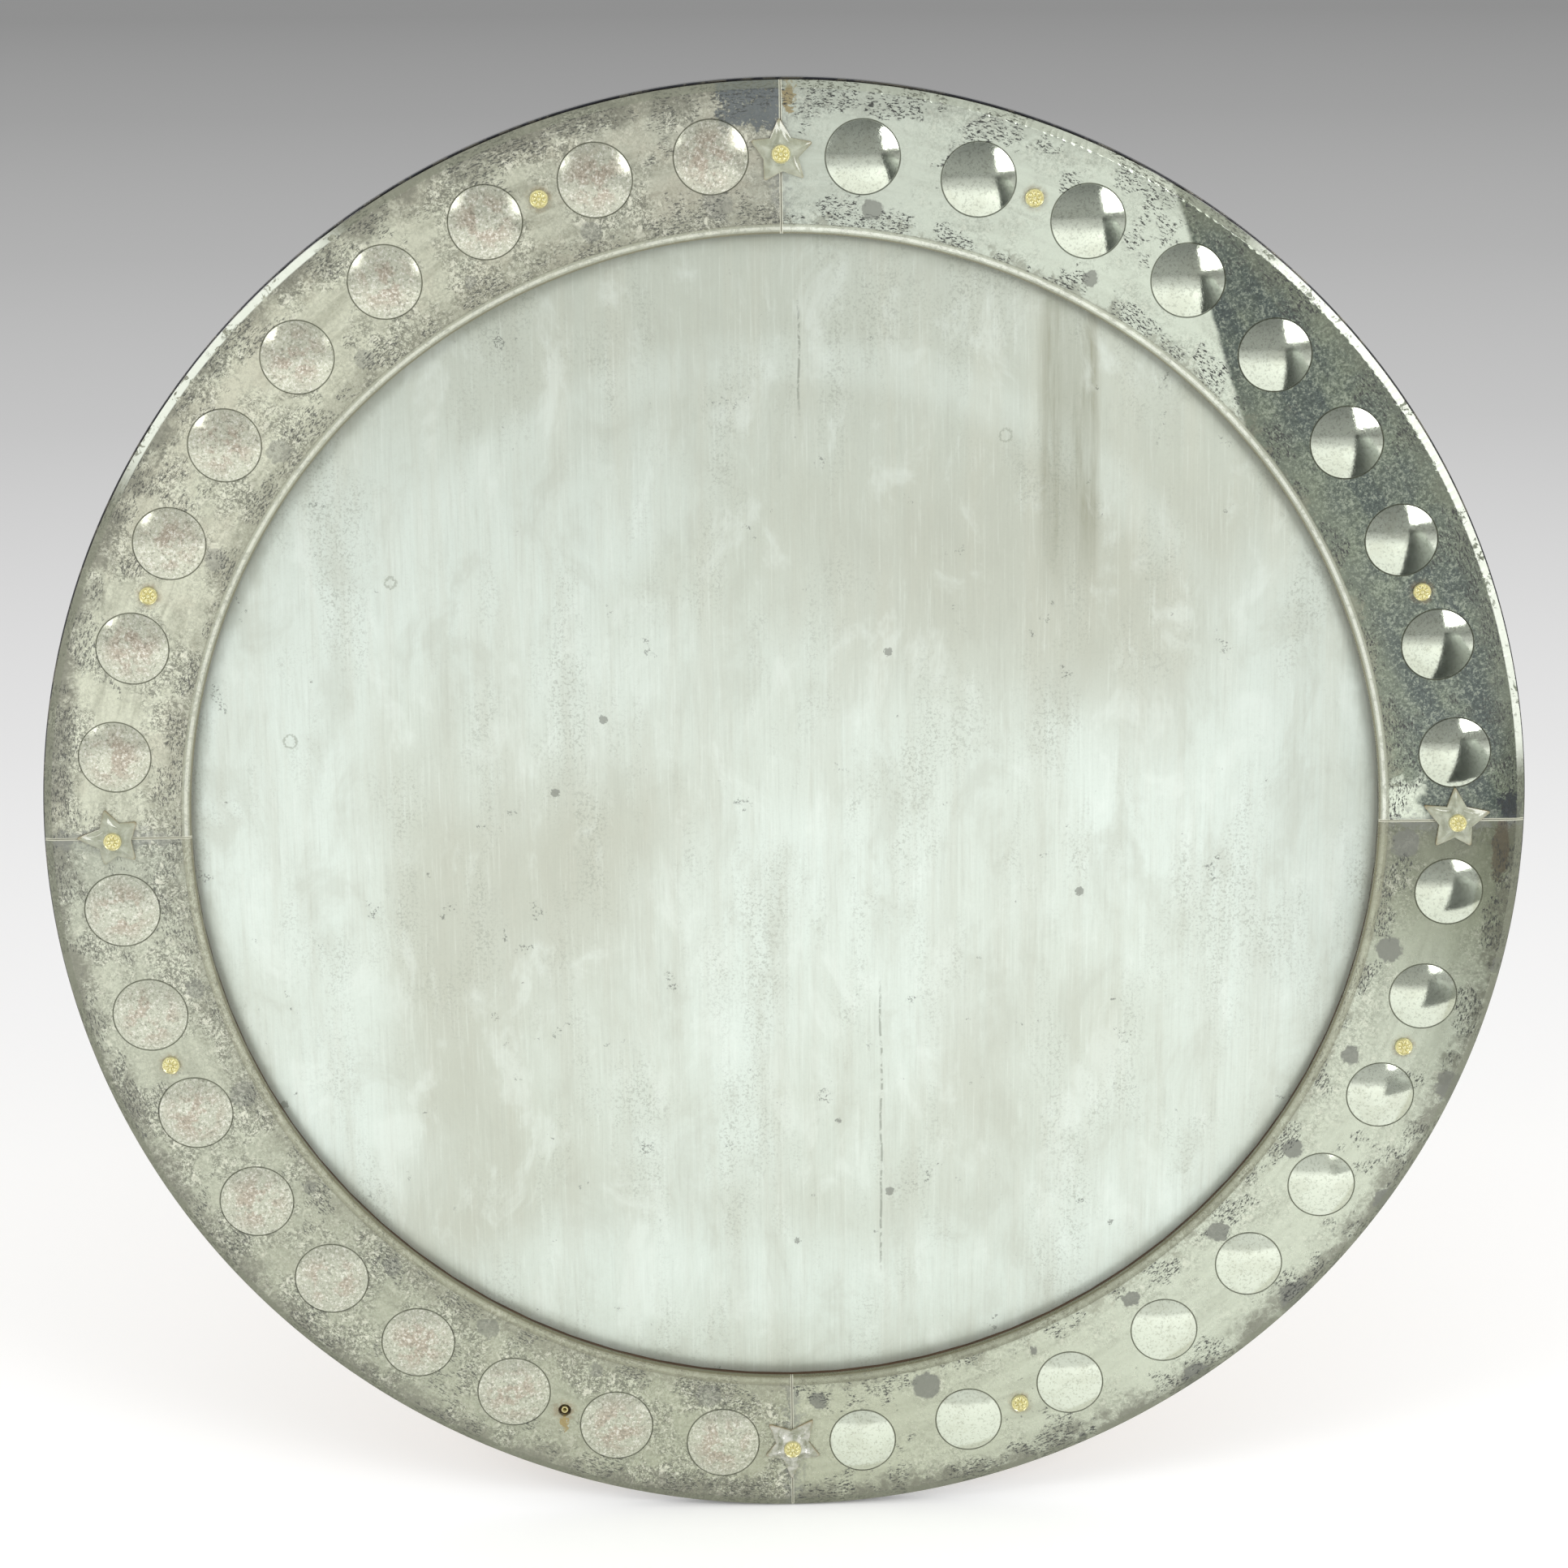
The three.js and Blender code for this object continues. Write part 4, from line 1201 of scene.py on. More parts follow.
@shared
def cap_brass():
    """Lacquered brass with paler dull spots and brown patina in patches."""
    material, b, shader, place = new_finish("Cap brass")
    metal = b.group(brushed_group(), {"Position": place, "Scale": 500.0})
    patina = b.step(b.noise(place, 420.0, 4.0, 0.7), 0.42, 0.7)
    shade = b.mix(b.math("MULTIPLY", metal["Dull"], 0.4), rgba(colours().brass), paint(240, 236, 194))
    b.put(shader["Base Color"], b.mix(b.math("MULTIPLY", patina, 0.5), shade, paint(182, 168, 104)))
    b.put(shader["Metallic"], b.between(patina, 0.6, 0.4))
    b.put(shader["Roughness"], b.between(patina, 0.24, 0.45))
    relief(b, shader, b.noise(place, 900.0, 2.0), 0.2, 0.2 * MM)
    return material


@shared
def band_enamel():
    """Black enamel with a cold sheen, rubbed along its edges."""
    material, b, shader, place = new_finish("Band enamel")
    metal = b.group(brushed_group(), {"Position": place, "Scale": 160.0})
    _, y, _ = b.split(place)
    lips = b.step(b.math("ABSOLUTE", b.math("SUBTRACT", y, (band_low.y + band_high.y) / 2)), 5 * MM, 6 * MM)
    rubbed = b.math("MULTIPLY", lips, b.step(b.noise(place, 60.0, 4.0, 0.7), 0.5, 0.62))
    shade = b.mix(b.math("MULTIPLY", metal["Dull"], 0.35), rgba(colours().band), paint(52, 54, 66))
    b.put(shader["Base Color"], b.mix(b.math("MULTIPLY", rubbed, 0.8), shade, paint(132, 128, 116)))
    b.put(shader["Metallic"], b.math("MULTIPLY", rubbed, 0.8))
    b.put(shader["Roughness"], b.math("ADD", 0.16, b.math("MULTIPLY", metal["Dull"], 0.14)))
    shader["Coat Weight"].default_value = 0.8
    shader["Coat Roughness"].default_value = 0.08
    relief(b, shader, metal["Height"], 0.05, 0.3 * MM)
    return material


@shared
def zinc_steel():
    """Dull zinc plating with drawn lines and a few rust freckles."""
    material, b, shader, place = new_finish("Zinc steel")
    metal = b.group(brushed_group(), {"Position": place, "Grain": (12.0, 1.0, 1.0), "Scale": 160.0})
    spangle = b.node("ShaderNodeTexVoronoi", {"Vector": place, "Scale": 420.0}).outputs["Color"]
    grey, _, _ = b.split(spangle)
    shade = b.mix(b.math("MULTIPLY", grey, 0.5), rgba(colours().steel), paint(140, 144, 150))
    rust = b.step(b.noise(place, 300.0, 5.0, 0.75), 0.64, 0.72)
    b.put(shader["Base Color"], b.mix(b.math("MULTIPLY", rust, 0.7), shade, paint(120, 78, 44)))
    b.put(shader["Metallic"], b.math("SUBTRACT", 0.95, b.math("MULTIPLY", rust, 0.8)))
    b.put(shader["Roughness"], b.math("ADD", 0.3, b.math("MULTIPLY", metal["Dull"], 0.25)))
    relief(b, shader, metal["Height"], 0.12, 0.2 * MM)
    return material


@shared
def socket_brass():
    """Plain turned brass of the threaded sockets."""
    material, b, shader, place = new_finish("Socket brass")
    metal = b.group(brushed_group(), {"Position": place, "Grain": (1.0, 10.0, 1.0), "Scale": 300.0})
    shade = b.mix(b.math("MULTIPLY", metal["Dull"], 0.6), rgba(colours().brass), paint(190, 160, 92))
    b.put(shader["Base Color"], shade)
    shader["Metallic"].default_value = 0.6
    b.put(shader["Roughness"], b.math("ADD", 0.3, b.math("MULTIPLY", metal["Dull"], 0.2)))
    relief(b, shader, metal["Height"], 0.15, 0.2 * MM)
    return material


@shared
def bumper_rubber():
    """Grey black rubber with a fine bloom."""
    material, b, shader, place = new_finish("Bumper rubber")
    bloom = b.step(b.noise(place, 120.0, 5.0, 0.7), 0.4, 0.75)
    b.put(shader["Base Color"], b.mix(b.math("MULTIPLY", bloom, 0.5), rgba(colours().rubber), paint(92, 92, 89)))
    b.put(shader["Roughness"], b.math("ADD", 0.6, b.math("MULTIPLY", bloom, 0.25)))
    relief(b, shader, b.noise(place, 1400.0, 2.0), 0.4, 0.2 * MM)
    return material


@shared
def board_wood():
    """Birch plywood: a pale figured face, layered edges and handling marks."""
    material, b, shader, place = new_finish("Board plywood")
    wood = b.group(wood_group(), {"Position": place, "Bands": 48.0})
    _, y, _ = b.split(place)
    shade = b.mix(wood["Figure"], paint(168, 132, 88), rgba(colours().plywood))
    shade = b.mix(b.math("MULTIPLY", wood["Pores"], 0.35), shade, paint(122, 90, 56))
    stain = b.step(b.noise(place, 5.0, 5.0, 0.6), 0.5, 0.75)
    shade = b.mix(b.math("MULTIPLY", stain, 0.35), shade, paint(132, 104, 72))

    # The plies show on the board's edge
    x, _, z = b.split(place)
    radius = b.vector("LENGTH", b.join(x, 0.0, z))
    edge = b.step(radius, board_high.x - 1.2 * MM, board_high.x - 0.9 * MM)
    ply = b.math("FRACT", b.math("DIVIDE", y, 3.6 * MM))
    layers = b.mix(b.step(b.math("PINGPONG", ply, 0.5), 0.2, 0.3), paint(112, 80, 48), paint(190, 154, 106))
    shade = b.mix(edge, shade, layers)
    b.put(shader["Base Color"], shade)
    b.put(shader["Roughness"], b.between(wood["Pores"], 0.62, 0.8))
    relief(b, shader, wood["Figure"], 0.15, 0.4 * MM)
    return material


@shared
def former_wood():
    """Dark stained softwood of the ring."""
    material, b, shader, place = new_finish("Former wood")
    wood = b.group(wood_group(), {"Position": place, "Bands": 110.0})
    shade = b.mix(wood["Figure"], paint(58, 42, 28), rgba(colours().former))
    shade = b.mix(b.math("MULTIPLY", wood["Pores"], 0.5), shade, paint(38, 28, 20))
    b.put(shader["Base Color"], shade)
    b.put(shader["Roughness"], b.between(wood["Figure"], 0.62, 0.5))
    relief(b, shader, wood["Figure"], 0.25, 0.5 * MM)
    return material


@shared
def packing_felt():
    """Grey pressed felt."""
    material, b, shader, place = new_finish("Packing felt")
    hair = b.noise(place, 900.0, 4.0, 0.8, 1.5)
    b.put(shader["Base Color"], b.mix(b.step(hair, 0.35, 0.65), rgba(colours().felt), paint(92, 89, 82)))
    shader["Roughness"].default_value = 0.95
    relief(b, shader, hair, 0.6, 0.5 * MM)
    return material


# Border glass


def notched(height, gap, hole):
    """How far a quarter's end stands from its seam: the gap, wider round a star's stud."""
    room = (hole / 2) ** 2 - (height - FIXING_RADIUS) ** 2
    return max(gap, math.sqrt(room)) if room > 0 else gap


def seam_steps(inner, outer, hole, plain_steps=44, notch_steps=10):
    """Heights along a seam, closer together where a star's hole notches it."""
    steps = [inner + (outer - inner) * step / plain_steps for step in range(plain_steps + 1)]
    low, high = FIXING_RADIUS - hole / 2, FIXING_RADIUS + hole / 2
    kept = [height for height in steps if height < low - 0.5 * MM or height > high + 0.5 * MM]
    kept += [low + (high - low) * step / notch_steps for step in range(notch_steps + 1)]
    return sorted(kept)


class QuarterMesh:
    """Builds one border quarter as a closed mesh, in the quarter's own turn from the top."""

    inner_steps = 200
    cuts_per_scallop = 6
    lens_sides = 72
    lens_rings = 12
    hole_sides = 28
    bevel_rings = 4
    corner_reach = 20 * MM

    def __init__(self, name, sizes):
        self.name = name
        self.sizes = sizes
        self.front = FORMER_FRONT - sizes.glass_thickness
        self.rear = FORMER_FRONT
        self.outer = RIM_RADIUS - sizes.reveal
        self.inner = self.outer - sizes.width
        self.random = random.Random(f"{name} glass")
        self.start = seam_clock(name, QUARTER_NAMES)
        self.vertices = []
        self.faces = []

    def add_loop(self, points):
        """points are (sideways, up, y) before the quarter is turned to its place."""
        first = len(self.vertices)
        turn = math.radians(self.start)
        for sideways, up, y in points:
            x = sideways * math.cos(turn) + up * math.sin(turn)
            z = up * math.cos(turn) - sideways * math.sin(turn)
            self.vertices.append(Vector((x, y, z)))
        return list(range(first, len(self.vertices)))

    def stitch(self, loop, following):
        count = len(loop)
        for index in range(count):
            after = (index + 1) % count
            self.faces.append([loop[index], loop[after], following[after], following[index]])

    def fill(self, outline, holes, points, reverse=False):
        """Triangles between an outline and its holes; all are index loops of plane points."""
        flat, loops = [], []
        for loop in [outline, *holes]:
            loops.append(list(range(len(flat), len(flat) + len(loop))))
            flat += [Vector(points[index]) for index in loop]
        known = [index for loop in [outline, *holes] for index in loop]
        made = delaunay_2d_cdt(flat, [], loops, 1, 1e-7, True)
        for face, owners in zip(made[2], made[5]):
            if list(owners) != [0]:
                continue
            corners = [known[made[3][corner][0]] for corner in face]
            self.faces.append(corners[::-1] if reverse else corners)

    def edge_points(self, share):
        """Points round the quarter, from its flat face (share 0) to its edge (share 1).

        They run counter-clockwise from the front, and every share gives as many points.
        """
        sizes = self.sizes
        inner = self.inner + sizes.inner_bevel * (1 - share)
        points = []
        for step in range(1, self.inner_steps):
            clock = QUARTER_TURN * step / self.inner_steps
            place = at_clock(clock, inner, 0)
            points.append((place.x, place.z, self.front + sizes.inner_bevel_depth * share))
        seam = self.seam_points(share)
        points += [(up, aside, y) for aside, up, y in seam]
        cuts = len(self.cuts) * self.cuts_per_scallop
        first = math.degrees((sizes.seam_gap / 2 + sizes.seam_chamfer) / self.outer)
        for step in range(cuts - 1, 0, -1):
            number, cut = divmod(step, self.cuts_per_scallop)
            cut /= self.cuts_per_scallop
            hollow = 4 * cut * (1 - cut)
            reach, deeper, begin, end = self.cuts[number]
            flat_radius = self.outer - sizes.outer_bevel - sizes.scallop_reach * reach * hollow
            radius = flat_radius + (self.outer - flat_radius) * share
            depth = sizes.outer_bevel_depth * share
            depth += deeper * hollow * share * (1.4 - share)
            along = begin + (end - begin) * cut
            place = at_clock(first + (QUARTER_TURN - 2 * first) * along, radius, 0)
            points.append((place.x, place.z, self.front + depth))
        points += reversed(seam)
        return points

    def seam_points(self, share):
        """(aside, up, y) along the quarter's end, from its inner to its outer corner."""
        sizes = self.sizes
        gap = sizes.seam_gap / 2 + sizes.seam_chamfer * (1 - share)
        hole = sizes.hole + 2 * sizes.seam_chamfer * (1 - share)
        points = []
        for height, chip in self.seam_heights:
            near_inner = max(0.0, 1 - (height - self.inner) / self.corner_reach)
            near_outer = max(0.0, 1 - (self.outer - height) / self.corner_reach)
            up = height + sizes.inner_bevel * (1 - share) * near_inner
            up -= sizes.outer_bevel * (1 - share) * near_outer
            aside = notched(up, gap + chip * (1 - share), hole)
            depth = sizes.seam_chamfer * 0.6 * share
            into_inner = self.inner + sizes.inner_bevel - up
            into_outer = up - (self.outer - sizes.outer_bevel)
            depth = max(depth, sizes.inner_bevel_depth * into_inner / sizes.inner_bevel)
            depth = max(depth, sizes.outer_bevel_depth * into_outer / sizes.outer_bevel)
            points.append((aside, math.sqrt(up**2 - aside**2), self.front + depth))
        return points

    def make(self):
        sizes = self.sizes
        arc = math.radians(QUARTER_TURN) * (self.outer - sizes.outer_bevel)
        scallops = round(arc / sizes.scallop_pitch)
        draw = self.random.uniform
        widths = [draw(0.6, 1.4) for _ in range(scallops)]
        ends = [sum(widths[:number]) / sum(widths) for number in range(scallops + 1)]
        self.cuts = [
            (draw(0.2, 1.3), draw(0.0, 0.12) * MM, begin, end) for begin, end in zip(ends, ends[1:])
        ]
        heights = seam_steps(self.inner, self.outer, sizes.hole)
        self.seam_heights = [(height, draw(0.0, 0.35) * MM) for height in heights]

        shares = [ring / self.bevel_rings for ring in range(self.bevel_rings + 1)]
        loops = [self.add_loop(self.edge_points(share)) for share in shares]
        rear = len(self.vertices)
        for index in loops[-1]:
            vertex = self.vertices[index]
            self.vertices.append(Vector((vertex.x, self.rear, vertex.z)))
        loops.append(list(range(rear, len(self.vertices))))
        for loop, following in zip(loops[1:], loops):
            self.stitch(loop, following)

        front_holes, rear_holes = [], []
        for clock in cap_clocks(self.name):
            rings = [
                self.circle(clock, sizes.hole / 2 + extra, y, self.hole_sides)
                for extra, y in ((0.4 * MM, self.front), (0.0, self.front + 0.4 * MM), (0.0, self.rear))
            ]
            front_holes.append(rings[0])
            rear_holes.append(rings[-1])
            for ring, following in zip(rings, rings[1:]):
                self.stitch(ring, following)
        for clock in lens_clocks(self.name):
            front_holes.append(self.add_lens(clock))
        plane = {index: (vertex.x, vertex.z) for index, vertex in enumerate(self.vertices)}
        self.fill(loops[0], front_holes, plane)
        self.fill(loops[-1], rear_holes, plane, reverse=True)
        mesh = mesh_from(f"{self.name} glass", self.vertices, self.faces, 9.0)
        return mesh

    def circle(self, clock, radius, y, sides):
        centre = at_clock(clock, FIXING_RADIUS, 0)
        ring = []
        for side in range(sides):
            offset = at_clock(-FULL_TURN * side / sides, radius, 0)
            ring.append((centre.x + offset.x, centre.z + offset.z, y))
        return self.add_loop(ring)

    def add_lens(self, clock):
        sizes = self.sizes
        radius = QUARTERS[self.name]["lens"] / 2
        sphere = (radius**2 + sizes.lens_rise**2) / (2 * sizes.lens_rise)
        profile = [
            (radius + sizes.groove_width, 0.0),
            (radius + sizes.groove_width / 2, sizes.groove_depth),
        ]
        for ring in range(self.lens_rings):
            angle = math.asin(radius / sphere) * (1 - ring / self.lens_rings)
            profile.append((sphere * math.sin(angle), sphere - sizes.lens_rise - sphere * math.cos(angle)))
        rings = [self.circle(clock, reach, self.front + y, self.lens_sides) for reach, y in profile]
        for ring, following in zip(rings, rings[1:]):
            self.stitch(ring, following)
        top = at_clock(clock, FIXING_RADIUS, 0)
        apex = self.add_loop([(top.x, top.z, self.front - sizes.lens_rise)])[0]
        last = rings[-1]
        for side, index in enumerate(last):
            self.faces.append([index, last[(side + 1) % len(last)], apex])
        return rings[0]


class MIRROR_OT_border_glass(bpy.types.Operator):
    """Make the four glass quarters of the border with their lenses and bevels"""

    bl_idname = "mirror.border_glass"
    bl_label = "Border glass"

    def execute(self, context):
        for name in QUARTER_NAMES:
            mesh = QuarterMesh(name, context.scene.mirror_border).make()
            piece = piece_from_mesh(f"border_glass_{name}", mesh, quarter_silver(name))
            slot = "pale_silver" if name.endswith("right") else "warm_silver"
            finish_piece(piece, slot, f"glass_{name}")
        return {"FINISHED"}


# Pieces made with geometry nodes


def grow(name, mesh, tree, inputs):
    """An object whose mesh is what a node tree makes of a starting mesh, as a plain mesh."""
    piece = bpy.data.objects.new(name, mesh)
    bpy.context.scene.collection.objects.link(piece)
    modifier = piece.modifiers.new(tree.name, "NODES")
    modifier.node_group = tree
    sockets = {
        item.name: item.identifier
        for item in tree.interface.items_tree
        if item.item_type == "SOCKET" and item.in_out == "INPUT"
    }
    for title, value in inputs.items():
        modifier[sockets[title]] = value
    graph = bpy.context.evaluated_depsgraph_get()
    grown = bpy.data.meshes.new_from_object(piece.evaluated_get(graph))
    piece.modifiers.remove(modifier)
    piece.data = grown
    if len(grown.polygons) == 0:
        raise RuntimeError(f"{name} came out empty")
    return piece


def points_mesh(name, points, edges=()):
    mesh = bpy.data.meshes.new(name)
    mesh.from_pydata([tuple(point) for point in points], list(edges), [])
    return mesh


TO_FRONT = (math.radians(90), 0.0, 0.0)
TO_REAR = (math.radians(-90), 0.0, 0.0)


def place_copies(b, shape, points, turn, seed, spin):
    """Copies of a shape on points, each turned about the mirror's axis at random, and joined."""
    chance = b.node("FunctionNodeRandomValue", {"Min": (0.0, 0.0, 0.0), "Max": (0.0, 0.0, spin)}, data_type="FLOAT_VECTOR")
    b.put(chance.inputs["Seed"], seed)
    turned = b.node("GeometryNodeTransform", {"Geometry": shape})
    copies = b.node(
        "GeometryNodeInstanceOnPoints",
        {"Points": points, "Instance": turned.outputs[0], "Rotation": turn},
    )
    rotated = b.node(
        "GeometryNodeRotateInstances",
        {"Instances": copies.outputs[0], "Rotation": chance.outputs["Value"]},
    )
    return b.node("GeometryNodeRealizeInstances", {0: rotated.outputs[0]}).outputs[0]


def close_tree(b, wanted, geometry, material):
    """Ends a tree: one material."""
    finished = b.node("GeometryNodeSetMaterial", {"Geometry": geometry, "Material": material})
    b.put(wanted["Geometry"], finished.outputs[0])


@shared
def plate_tree():
    """A round glass plate raised to a shallow dome."""
    b, given, wanted = new_tree(
        "Domed plate",
        "GeometryNodeTree",
        {
            "Geometry": ("geometry", None),
            "Radius": ("float", 0.43),
            "Thickness": ("float", 4 * MM),
            "Sphere": ("float", 3.7),
            "Rear": ("float", 0.0),
            "Sides": ("int", 192),
            "Rings": ("int", 30),
            "Material": ("material", None),
        },
        {"Geometry": "geometry"},
    )
    inputs = {
        "Vertices": given["Sides"],
        "Fill Segments": given["Rings"],
        "Radius": given["Radius"],
        "Depth": given["Thickness"],
    }
    disc = b.node("GeometryNodeMeshCylinder", inputs).outputs["Mesh"]
    x, y, _ = b.split(b.node("GeometryNodeInputPosition").outputs[0])
    square = b.math("ADD", b.math("MULTIPLY", x, x), b.math("MULTIPLY", y, y))
    ball = b.math("MULTIPLY", given["Sphere"], given["Sphere"])
    rise = b.math("SQRT", b.math("SUBTRACT", ball, square))
    edge = b.math("MULTIPLY", given["Radius"], given["Radius"])
    rise = b.math("SUBTRACT", rise, b.math("SQRT", b.math("SUBTRACT", ball, edge)))
    rise = b.math("ADD", rise, b.math("MULTIPLY", given["Thickness"], 0.5))
    lifted = b.node("GeometryNodeSetPosition", {"Geometry": disc, "Offset": b.join(0.0, 0.0, rise)})
    inputs = {
        "Geometry": lifted.outputs[0],
        "Rotation": TO_FRONT,
        "Translation": b.join(0.0, given["Rear"], 0.0),
    }
    faced = b.node("GeometryNodeTransform", inputs)
    close_tree(b, wanted, b.node("GeometryNodeRealizeInstances", {0: faced.outputs[0]}).outputs[0], given["Material"])
    return b.tree


@shared
def rosette_tree():
    """Rosette caps with their studs, one on each point."""
    b, given, wanted = new_tree(
        "Rosette caps",
        "GeometryNodeTree",
        {
            "Geometry": ("geometry", None),
            "Radius": ("float", 6.35 * MM),
            "Height": ("float", 3.4 * MM),
            "Rim Height": ("float", 1.6 * MM),
            "Petals": ("int", 8),
            "Stud Radius": ("float", 1.1 * MM),
            "Stud Length": ("float", 7 * MM),
            "Seed": ("int", 3),
            "Material": ("material", None),
        },
        {"Geometry": "geometry"},
    )
    radius = given["Radius"]
    inputs = {
        "Vertices": 64,
        "Side Segments": 2,
        "Fill Segments": 14,
        "Radius": radius,
        "Depth": given["Rim Height"],
    }
    disc = b.node("GeometryNodeMeshCylinder", inputs)
    x, y, z = b.split(b.node("GeometryNodeInputPosition").outputs[0])
    out = b.math("DIVIDE", b.math("SQRT", b.math("ADD", b.math("MULTIPLY", x, x), b.math("MULTIPLY", y, y))), radius)
    angle = b.math("ARCTAN2", y, x)
    leaf = b.math("ABSOLUTE", b.math("COSINE", b.math("MULTIPLY", angle, b.math("DIVIDE", given["Petals"], 2.0))))
    leaf = b.math("POWER", leaf, 0.55)
    ridge = b.math("MULTIPLY", b.step(out, 0.2, 0.45), b.step(out, 0.86, 0.62))
    ridge = b.math("MULTIPLY", ridge, leaf)
    boss = b.step(out, 0.34, 0.12)
    bead = b.math("MULTIPLY", b.step(out, 0.8, 0.89), b.step(out, 1.0, 0.92))
    shape = b.math("ADD", b.math("MULTIPLY", ridge, 0.62), b.math("MULTIPLY", bead, 0.34))
    shape = b.math("MAXIMUM", shape, boss)
    hollow = b.math("MULTIPLY", b.step(out, 0.9, 0.78), 0.18)
    shape = b.math("SUBTRACT", shape, hollow)
    rise = b.math("MULTIPLY", shape, b.math("SUBTRACT", given["Height"], given["Rim Height"]))
    # Only the upper face moves: it lies half the rim height above the middle
    upper = b.math("GREATER_THAN", z, b.math("MULTIPLY", given["Rim Height"], 0.49))
    rise = b.math("MULTIPLY", rise, upper)
    lifted = b.node("GeometryNodeSetPosition", {"Geometry": disc.outputs["Mesh"], "Offset": b.join(0.0, 0.0, rise)})
    seated = b.node(
        "GeometryNodeTransform",
        {"Geometry": lifted.outputs[0], "Translation": b.join(0.0, 0.0, b.math("MULTIPLY", given["Rim Height"], 0.5))},
    )
    stud = b.node(
        "GeometryNodeMeshCylinder",
        {"Vertices": 16, "Radius": given["Stud Radius"], "Depth": given["Stud Length"]},
    )
    hung = b.node(
        "GeometryNodeTransform",
        {"Geometry": stud.outputs["Mesh"], "Translation": b.join(0.0, 0.0, b.math("MULTIPLY", given["Stud Length"], -0.5))},
    )
    joined = b.node("GeometryNodeJoinGeometry")
    b.put(joined.inputs[0], seated.outputs[0])
    b.put(joined.inputs[0], hung.outputs[0])
    copies = place_copies(b, joined.outputs[0], given["Geometry"], TO_FRONT, given["Seed"], math.tau)
    close_tree(b, wanted, copies, given["Material"])
    return b.tree


@shared
def screw_tree():
    """Slotted countersunk wood screws, one on each point, heads towards the rear."""
    b, given, wanted = new_tree(
        "Wood screws",
        "GeometryNodeTree",
        {
            "Geometry": ("geometry", None),
            "Head Radius": ("float", 4 * MM),
            "Head Height": ("float", 2.4 * MM),
            "Shank Radius": ("float", 1.9 * MM),
            "Length": ("float", 17 * MM),
            "Point Length": ("float", 4 * MM),
            "Thread Pitch": ("float", 1.6 * MM),
            "Slot Width": ("float", 1 * MM),
            "Slot Depth": ("float", 0.9 * MM),
            "Seed": ("int", 5),
            "Material": ("material", None),
        },
        {"Geometry": "geometry"},
    )
    root = b.math("MULTIPLY", given["Shank Radius"], 0.74)
    head = b.node(
        "GeometryNodeMeshCone",
        {
            "Vertices": 32,
            "Side Segments": 2,
            "Radius Top": given["Head Radius"],
            "Radius Bottom": given["Shank Radius"],
            "Depth": given["Head Height"],
        },
    )
    sunk = b.node(
        "GeometryNodeTransform",
        {"Geometry": head.outputs["Mesh"], "Translation": b.join(0.0, 0.0, b.math("MULTIPLY", given["Head Height"], -1.0))},
    )
    slot_size = b.join(b.math("MULTIPLY", given["Head Radius"], 2.4), given["Slot Width"], b.math("MULTIPLY", given["Slot Depth"], 2.0))
    slot = b.node("GeometryNodeMeshCube", {"Size": slot_size})
    cut = b.node("GeometryNodeMeshBoolean", operation="DIFFERENCE")
    b.put(cut.inputs["Mesh 1"], sunk.outputs[0])
    b.put(cut.inputs["Mesh 2"], slot.outputs["Mesh"])

    straight = b.math("SUBTRACT", b.math("SUBTRACT", given["Length"], given["Head Height"]), given["Point Length"])
    shank = b.node(
        "GeometryNodeMeshCylinder", {"Vertices": 20, "Radius": root, "Depth": straight}
    )
    below = b.math("MULTIPLY", b.math("ADD", given["Head Height"], b.math("MULTIPLY", straight, 0.5)), -1.0)
    shank = b.node("GeometryNodeTransform", {"Geometry": shank.outputs["Mesh"], "Translation": b.join(0.0, 0.0, below)})
    point = b.node(
        "GeometryNodeMeshCone",
        {
            "Vertices": 20,
            "Radius Top": root,
            "Radius Bottom": b.math("MULTIPLY", root, 0.08),
            "Depth": given["Point Length"],
        },
    )
    tip = b.math("MULTIPLY", given["Length"], -1.0)
    point = b.node("GeometryNodeTransform", {"Geometry": point.outputs["Mesh"], "Translation": b.join(0.0, 0.0, tip)})

    turns = b.math("DIVIDE", straight, given["Thread Pitch"])
    helix = b.node(
        "GeometryNodeCurveSpiral",
        {
            "Resolution": 18,
            "Rotations": turns,
            "Start Radius": root,
            "End Radius": root,
            "Height": b.math("MULTIPLY", straight, 0.96),
        },
    )
    ridge = b.node("GeometryNodeCurvePrimitiveCircle", {"Resolution": 4, "Radius": b.math("SUBTRACT", given["Shank Radius"], root)})
    thread = b.node(
        "GeometryNodeCurveToMesh",
        {"Curve": helix.outputs[0], "Profile Curve": ridge.outputs[0], "Fill Caps": True},
    )
    start = b.math("MULTIPLY", b.math("ADD", given["Head Height"], b.math("MULTIPLY", straight, 0.98)), -1.0)
    thread = b.node("GeometryNodeTransform", {"Geometry": thread.outputs[0], "Translation": b.join(0.0, 0.0, start)})
    joined = b.node("GeometryNodeJoinGeometry")
    for shape in (cut, shank, point, thread):
        b.put(joined.inputs[0], shape.outputs[0])
    copies = place_copies(b, joined.outputs[0], given["Geometry"], TO_REAR, given["Seed"], math.tau)
    close_tree(b, wanted, copies, given["Material"])
    return b.tree


